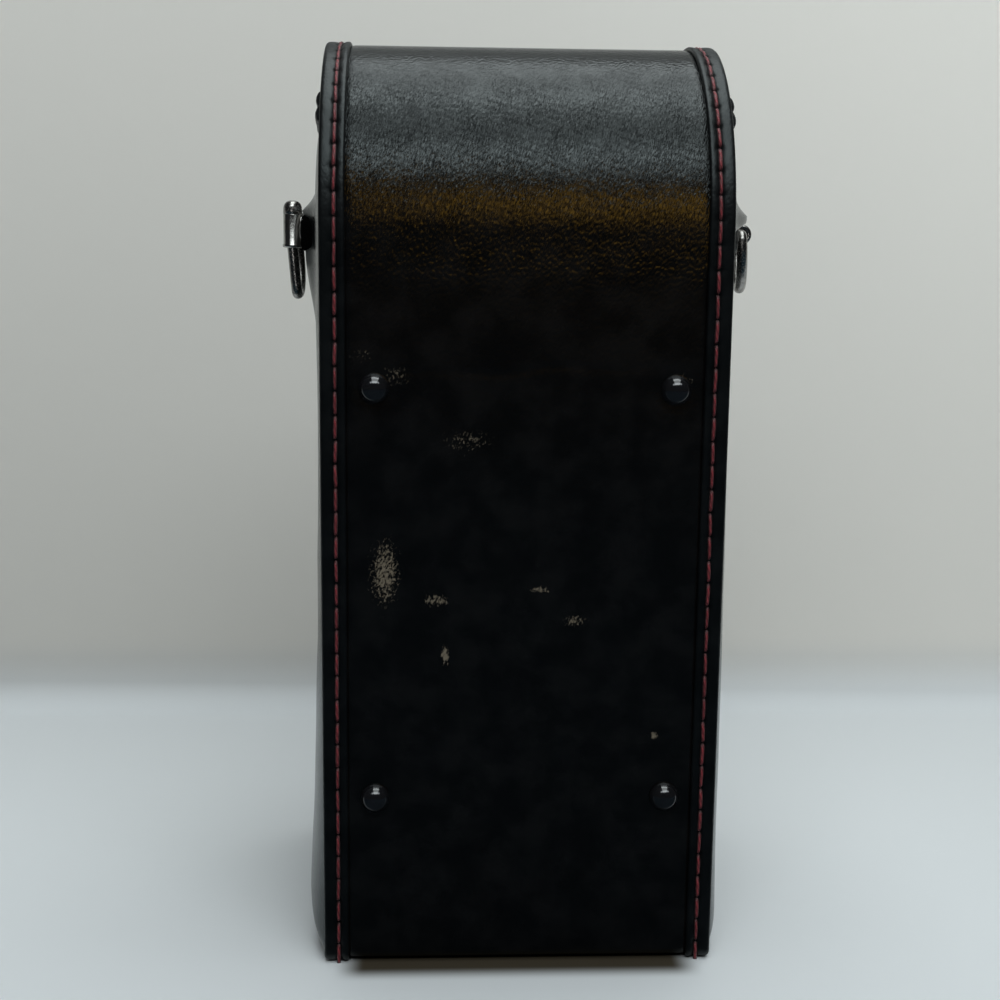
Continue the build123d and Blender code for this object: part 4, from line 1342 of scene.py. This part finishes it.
def build_seat(material):
    """Foam block with rolled edges and a round pocket for the lens."""
    low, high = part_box("lens_seat")
    half_x, half_y = high.x - 0.2 * MM, high.y - 0.2 * MM
    bottom, top = low.z + 0.1 * MM, high.z
    brim = top - 0.2 * MM
    angles = np.linspace(0, 2 * math.pi, 192, endpoint=False)
    power = SEAT_SQUARENESS
    square = np.abs(np.cos(angles) / half_x) ** power + np.abs(np.sin(angles) / half_y) ** power
    square = square ** (-1 / power)
    rings = []

    def ring(reach, height, lumps=0.0):
        x, y = reach * np.cos(angles), reach * np.sin(angles)
        places = np.stack([x, y, np.full(len(angles), 1.0) * height], -1)
        places[:, 2] += cloud(places, 14 * MM, 2, 3.7) * lumps
        rings.append(places)

    for height in np.linspace(bottom, top - SEAT_EDGE, 8):
        belly = 0.5 * MM * math.sin(math.pi * (height - bottom) / (top - bottom))
        ring(square - belly, height)
    for turn in np.radians((15, 30, 45, 60, 75, 90)):
        ring(square - SEAT_EDGE * (1 - math.cos(turn)), brim - SEAT_EDGE * (1 - math.sin(turn)), 0.1 * MM)
    for share in (0.2, 0.4, 0.6, 0.8):
        inner = (square - SEAT_EDGE) * (1 - share) + (POCKET + POCKET_ROLL) * share
        ring(inner, brim + 0.2 * MM * math.sin(math.pi * share), 0.15 * MM)
    for turn in np.radians((0, 20, 40, 60, 80, 90)):
        ring(POCKET + POCKET_ROLL * (1 - math.sin(turn)), brim - POCKET_ROLL * (1 - math.cos(turn)), 0.1 * MM)
    for height in np.linspace(top - POCKET_ROLL - 1 * MM, top - POCKET_DEPTH + 2 * MM, 6):
        ring(POCKET + 0.3 * MM, height)
    for share in (0.97, 0.9, 0.75, 0.55, 0.35, 0.15, 0.0):
        ring(POCKET * share, top - POCKET_DEPTH + 1.2 * MM * share**8, 0.2 * MM if share > 0 else 0.0)
    seat = make_piece("seat_foam_block", np.stack(rings), tube_faces(len(rings), len(angles), last_cap=False))
    finish_piece(seat, material, "case", ["lens_seat"])


def build_pad(material):
    """Crowned foam pad under the top of the lid."""
    low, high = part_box("lid_pad")
    radius = high.z - ARCH - 0.2 * MM
    half_y = math.sqrt(radius**2 - (low.z + 1.2 * MM - ARCH) ** 2)
    half_x = high.x - 0.3 * MM
    edge = 6 * MM
    ends = half_x * np.sin(np.radians(np.arange(-90, -60, 5)))
    arc = math.asin(half_y / radius)
    upper = [(radius * math.sin(a), ARCH + radius * math.cos(a)) for a in np.linspace(-arc, arc, 40)]
    middle = np.array([0.0, low.z + 0.55 * (high.z - low.z)])
    rows = []
    for x in np.concatenate([ends, np.linspace(-0.85, 0.85, 40) * half_x, -ends[::-1]]):
        close = math.sqrt(max(0.0, 1 - (max(0.0, abs(x) - half_x + edge) / edge) ** 2))
        painted_contact_shadow = [
            (y, low.z + 1.4 * MM - 1.2 * MM * (1 - (y / half_y) ** 4) * close)
            for y in np.linspace(half_y, -half_y, 36)[1:-1]
        ]
        ring = middle + (np.array(upper + painted_contact_shadow) - middle) * (0.35 + 0.65 * close)
        rows.append(np.column_stack([np.full(len(ring), x), ring]))
    places = np.stack(rows)
    places[..., 2] += cloud(places, 12 * MM, 2, 1.1) * 0.15 * MM - 0.15 * MM
    pad = make_piece("lid_foam_pad", places, tube_faces(*places.shape[:2]))
    finish_piece(pad, material, "lid", ["lid_pad"])


def build_inside():
    board, pile, foam = board_material(), pile_material(), foam_material()
    for name in frame["nodes"]:
        if "board" in name:
            dress_node(name, board)
    dress_node("mouth_collar", pile)
    build_lining("body_cloth", -0.5 * MM, False, "case", pile)
    build_lining("lid_cloth", 9.0 * MM, True, "lid", pile)
    build_seat(foam)
    build_pad(foam)


# Stage
CAMERA_PLACE = (-26.2 * MM, -459.7 * MM, 204.0 * MM)
CAMERA_YAW = math.radians(2.77)
CAMERA_PITCH = math.radians(10.35)
CAMERA_ROLL = math.radians(-0.65)
CAMERA_LENS = 57.6
WALL_Y = 0.185
WALL_TOP = 0.46
COVE = 0.02
STAGE_HALF = 2.5

# Name, place, target, width, height, power and colour of each lamp
COOL = (0.92, 0.99, 1.0)
LAMPS = (
    ("overhead", (0.1, -0.33, 1.25), (0.1, -0.33, 0), 0.8, 2.3, 14.5, COOL),
    ("overhead_middle", (0.1, -0.03, 1.24), (0.1, -0.03, 0), 0.8, 0.3, 2.0, COOL),
    ("overhead_low", (0.1, -1.12, 1.36), (0.0, 0.0, 0.22), 1.8, 0.45, 8.0, (0.9, 0.97, 1.0)),
    ("warm_glow", (0.32, -1.6, 0.66), (0.1, 0, 0.3), 0.8, 0.5, 4.4, (1.0, 0.5, 0.06)),
    ("strip", (-0.28, -1.8, 0.3), (-0.06, 0, 0.2), 0.04, 0.6, 1.0, (1.0, 1.0, 1.0)),
)
# Lamps that light only the pieces with these finishes
LIT_BY = {"warm_glow": ("band_leather",), "strip": ("tarnished_nickel", "worn_ring", "nickel_with_painted_shade")}


def add_camera():
    data = bpy.data.cameras.new("camera")
    data.lens = CAMERA_LENS
    data.sensor_width = 36.0
    camera = add_object("camera", data)
    sine, cosine = math.sin(CAMERA_YAW), math.cos(CAMERA_YAW)
    flat = math.cos(CAMERA_PITCH)
    forward = Vector((sine * flat, cosine * flat, -math.sin(CAMERA_PITCH)))
    level = Vector((cosine, -sine, 0))
    down = forward.cross(level)
    right = level * math.cos(CAMERA_ROLL) + down * math.sin(CAMERA_ROLL)
    rotation = Matrix((right, right.cross(forward), -forward)).transposed()
    camera.matrix_world = Matrix.Translation(CAMERA_PLACE) @ rotation.to_4x4()
    bpy.context.scene.camera = camera


def add_area(name, place, target, width, height, power, colour):
    data = bpy.data.lights.new(name, "AREA")
    data.shape = "RECTANGLE"
    data.size = width
    data.size_y = height
    data.energy = power
    data.color = colour
    lamp = add_object(name, data)
    lamp.location = place
    lamp.rotation_euler = (Vector(target) - Vector(place)).to_track_quat("-Z", "Y").to_euler()
    if name in LIT_BY:
        lit = bpy.data.collections.new(f"lit by {name}")
        for piece in bpy.data.objects:
            if piece.type == "MESH" and piece.data.materials and piece.data.materials[0].name in LIT_BY[name]:
                lit.objects.link(piece)
        lamp.light_linking.receiver_collection = lit


def paper_material():
    """Floor and wall, with painted shadow under the case, painted light on the wall, and dimmed where gloss
    mirrors them.
    """
    material, t, shader = new_material("pale_paper")
    place = t.split(t.add("ShaderNodeTexCoord")["Object"])
    upright = t.ramp(place["Z"], 0.0, 0.03)
    paper = t.mix(upright, shade(colours().floor), shade(colours().wall))
    # painted shadow: a dark-brown patch on the floor under the case stands for its contact shadow and its
    # dark reflection
    beside = t.ramp(t.calc("ABSOLUTE", place["X"]), 0.042, 0.051, 1.0, 0.0)
    painted_contact_shadow = t.times(beside, t.ramp(t.calc("ABSOLUTE", place["Y"]), 0.053, 0.061, 1.0, 0.0))
    paper = t.mix(t.times(painted_contact_shadow, 0.97), paper, (0.026, 0.016, 0.003, 1))
    # painted light: the wall is brighter towards its top and towards the right
    rise = t.ramp(place["Z"], 0.0, 0.35, 0.72, 1.0)
    across = t.ramp(place["X"], -0.25, 0.3, 0.0, 0.2)
    light = t.calc("MAXIMUM", t.calc("ADD", rise, across), t.calc("SUBTRACT", 1.0, upright))
    paper = t.mix(1.0, paper, t.add("ShaderNodeCombineColor", {0: light, 1: light, 2: light})[0], "MULTIPLY")
    t.feed(shader, {"Base Color": paper, "Roughness": 0.55, "Specular IOR Level": 0.2})
    mirrored = t.add("ShaderNodeLightPath")["Is Glossy Ray"]
    before = t.ramp(place["Y"], -0.056, -0.05, 1.0, 0.0)
    aloft = t.ramp(place["Z"], 0.27, 0.34, 0.0, 0.6)
    dimmed = t.times(mirrored, t.calc("MAXIMUM", before, aloft))
    dim = t.add("ShaderNodeBsdfDiffuse", {"Color": (0.022, 0.04, 0.055, 1)})[0]
    seen = t.add("ShaderNodeMixShader", {0: dimmed, 1: shader.outputs[0], 2: dim})[0]
    behind = t.add("ShaderNodeNewGeometry")["Backfacing"]
    mixed = t.add("ShaderNodeMixShader", {0: behind, 1: seen, 2: t.add("ShaderNodeBsdfTransparent")[0]})[0]
    t.feed(t.tree.nodes["Material Output"], {"Surface": mixed})
    return material


def build_stage():
    """Floor that curves up into a wall. The wall shows from its front only."""
    turns = np.linspace(0.15, math.pi / 2, 8)
    cove = [(WALL_Y - COVE + COVE * math.sin(a), COVE - COVE * math.cos(a)) for a in turns]
    run = [(-STAGE_HALF, 0.0), (WALL_Y - COVE, 0.0), *cove, (WALL_Y, 0.3), (WALL_Y, WALL_TOP)]
    places = [(x, y, z) for y, z in run for x in (-STAGE_HALF, STAGE_HALF)]
    mesh = bpy.data.meshes.new("backdrop")
    mesh.from_pydata(places, [], [[2 * i, 2 * i + 1, 2 * i + 3, 2 * i + 2] for i in range(len(run) - 1)])
    mesh.update()
    for polygon in mesh.polygons:
        polygon.use_smooth = True
    backdrop = add_object("backdrop", mesh)
    mesh.materials.append(paper_material())

    add_camera()
    for lamp in LAMPS:
        add_area(*lamp)

    world = bpy.data.worlds.new("studio")
    world.use_nodes = True
    t = Nodes(world.node_tree)
    dim_sky = world.node_tree.nodes["Background"]
    t.feed(dim_sky, {0: (0.72, 0.76, 0.8, 1), 1: 0.03})
    pale_sky = t.add("ShaderNodeBackground", {"Color": (0.5, 0.51, 0.5, 1), "Strength": 1.0})[0]
    direct = t.add("ShaderNodeLightPath")["Is Camera Ray"]
    both = t.add("ShaderNodeMixShader", {0: direct, 1: dim_sky.outputs[0], 2: pale_sky})[0]
    t.feed(world.node_tree.nodes["World Output"], {"Surface": both})
    bpy.context.scene.world = world
    bpy.context.scene.view_settings.view_transform = "Standard"


class LENSCASE_OT_band(bpy.types.Operator):
    """Leather band over front, base, back and arch"""

    bl_idname = "lens_case.band"
    bl_label = "Leather band"

    def execute(self, context):
        build_band()
        return {"FINISHED"}


class LENSCASE_OT_rims(bpy.types.Operator):
    """Rims where the side leather turns over the band"""

    bl_idname = "lens_case.rims"
    bl_label = "Rims"

    def execute(self, context):
        build_rims()
        return {"FINISHED"}


class LENSCASE_OT_panels(bpy.types.Operator):
    """Stuffed side panels and the flat sides of the lid"""

    bl_idname = "lens_case.panels"
    bl_label = "Side panels"

    def execute(self, context):
        build_panels()
        return {"FINISHED"}


class LENSCASE_OT_bindings(bpy.types.Operator):
    """Binding along the edge of the lid"""

    bl_idname = "lens_case.bindings"
    bl_label = "Lid binding"

    def execute(self, context):
        build_bindings()
        return {"FINISHED"}


class LENSCASE_OT_stitches(bpy.types.Operator):
    """Red stitches of the rims and the binding"""

    bl_idname = "lens_case.stitches"
    bl_label = "Stitches"

    def execute(self, context):
        build_stitches()
        return {"FINISHED"}


class LENSCASE_OT_feet(bpy.types.Operator):
    """Domed feet on the back"""

    bl_idname = "lens_case.feet"
    bl_label = "Feet"

    def execute(self, context):
        build_feet()
        return {"FINISHED"}


class LENSCASE_OT_fittings(bpy.types.Operator):
    """Lugs, clips and rings for the strap"""

    bl_idname = "lens_case.fittings"
    bl_label = "Strap fittings"

    def execute(self, context):
        build_fittings()
        return {"FINISHED"}


class LENSCASE_OT_latch(bpy.types.Operator):
    """Push-button latch with its hasp"""

    bl_idname = "lens_case.latch"
    bl_label = "Latch"

    def execute(self, context):
        build_latch()
        return {"FINISHED"}


class LENSCASE_OT_inside(bpy.types.Operator):
    """Boards, lining, collar, seat and pad"""

    bl_idname = "lens_case.inside"
    bl_label = "Inside"

    def execute(self, context):
        build_inside()
        return {"FINISHED"}


class LENSCASE_OT_stage(bpy.types.Operator):
    """Camera, lamps, floor and wall"""

    bl_idname = "lens_case.stage"
    bl_label = "Stage"

    def execute(self, context):
        build_stage()
        return {"FINISHED"}


STEPS = (
    LENSCASE_OT_band,
    LENSCASE_OT_rims,
    LENSCASE_OT_panels,
    LENSCASE_OT_bindings,
    LENSCASE_OT_stitches,
    LENSCASE_OT_feet,
    LENSCASE_OT_fittings,
    LENSCASE_OT_latch,
    LENSCASE_OT_inside,
    LENSCASE_OT_stage,
)


class LENSCASE_PT_panel(bpy.types.Panel):
    """Lists the sizes, the colours and the steps"""

    bl_idname = "LENSCASE_PT_panel"
    bl_label = "Lens case"
    bl_space_type = "VIEW_3D"
    bl_region_type = "UI"
    bl_category = "Lens case"

    def draw(self, context):
        for group in (context.scene.lens_case_sizes, context.scene.lens_case_colours):
            for name in group.__annotations__:
                self.layout.prop(group, name)
        for step_class in STEPS:
            self.layout.operator(step_class.bl_idname)


CLASSES = (CaseSizes, CaseColours, *STEPS, LENSCASE_PT_panel)


def register():
    for item in CLASSES:
        bpy.utils.register_class(item)
    bpy.types.Scene.lens_case_sizes = PointerProperty(type=CaseSizes)
    bpy.types.Scene.lens_case_colours = PointerProperty(type=CaseColours)


def unregister():
    del bpy.types.Scene.lens_case_colours
    del bpy.types.Scene.lens_case_sizes
    for item in reversed(CLASSES):
        bpy.utils.unregister_class(item)


def main():
    register()
    for step_class in STEPS:
        group, name = step_class.bl_idname.split(".")
        getattr(getattr(bpy.ops, group), name)()


if __name__ == "__main__":
    main()
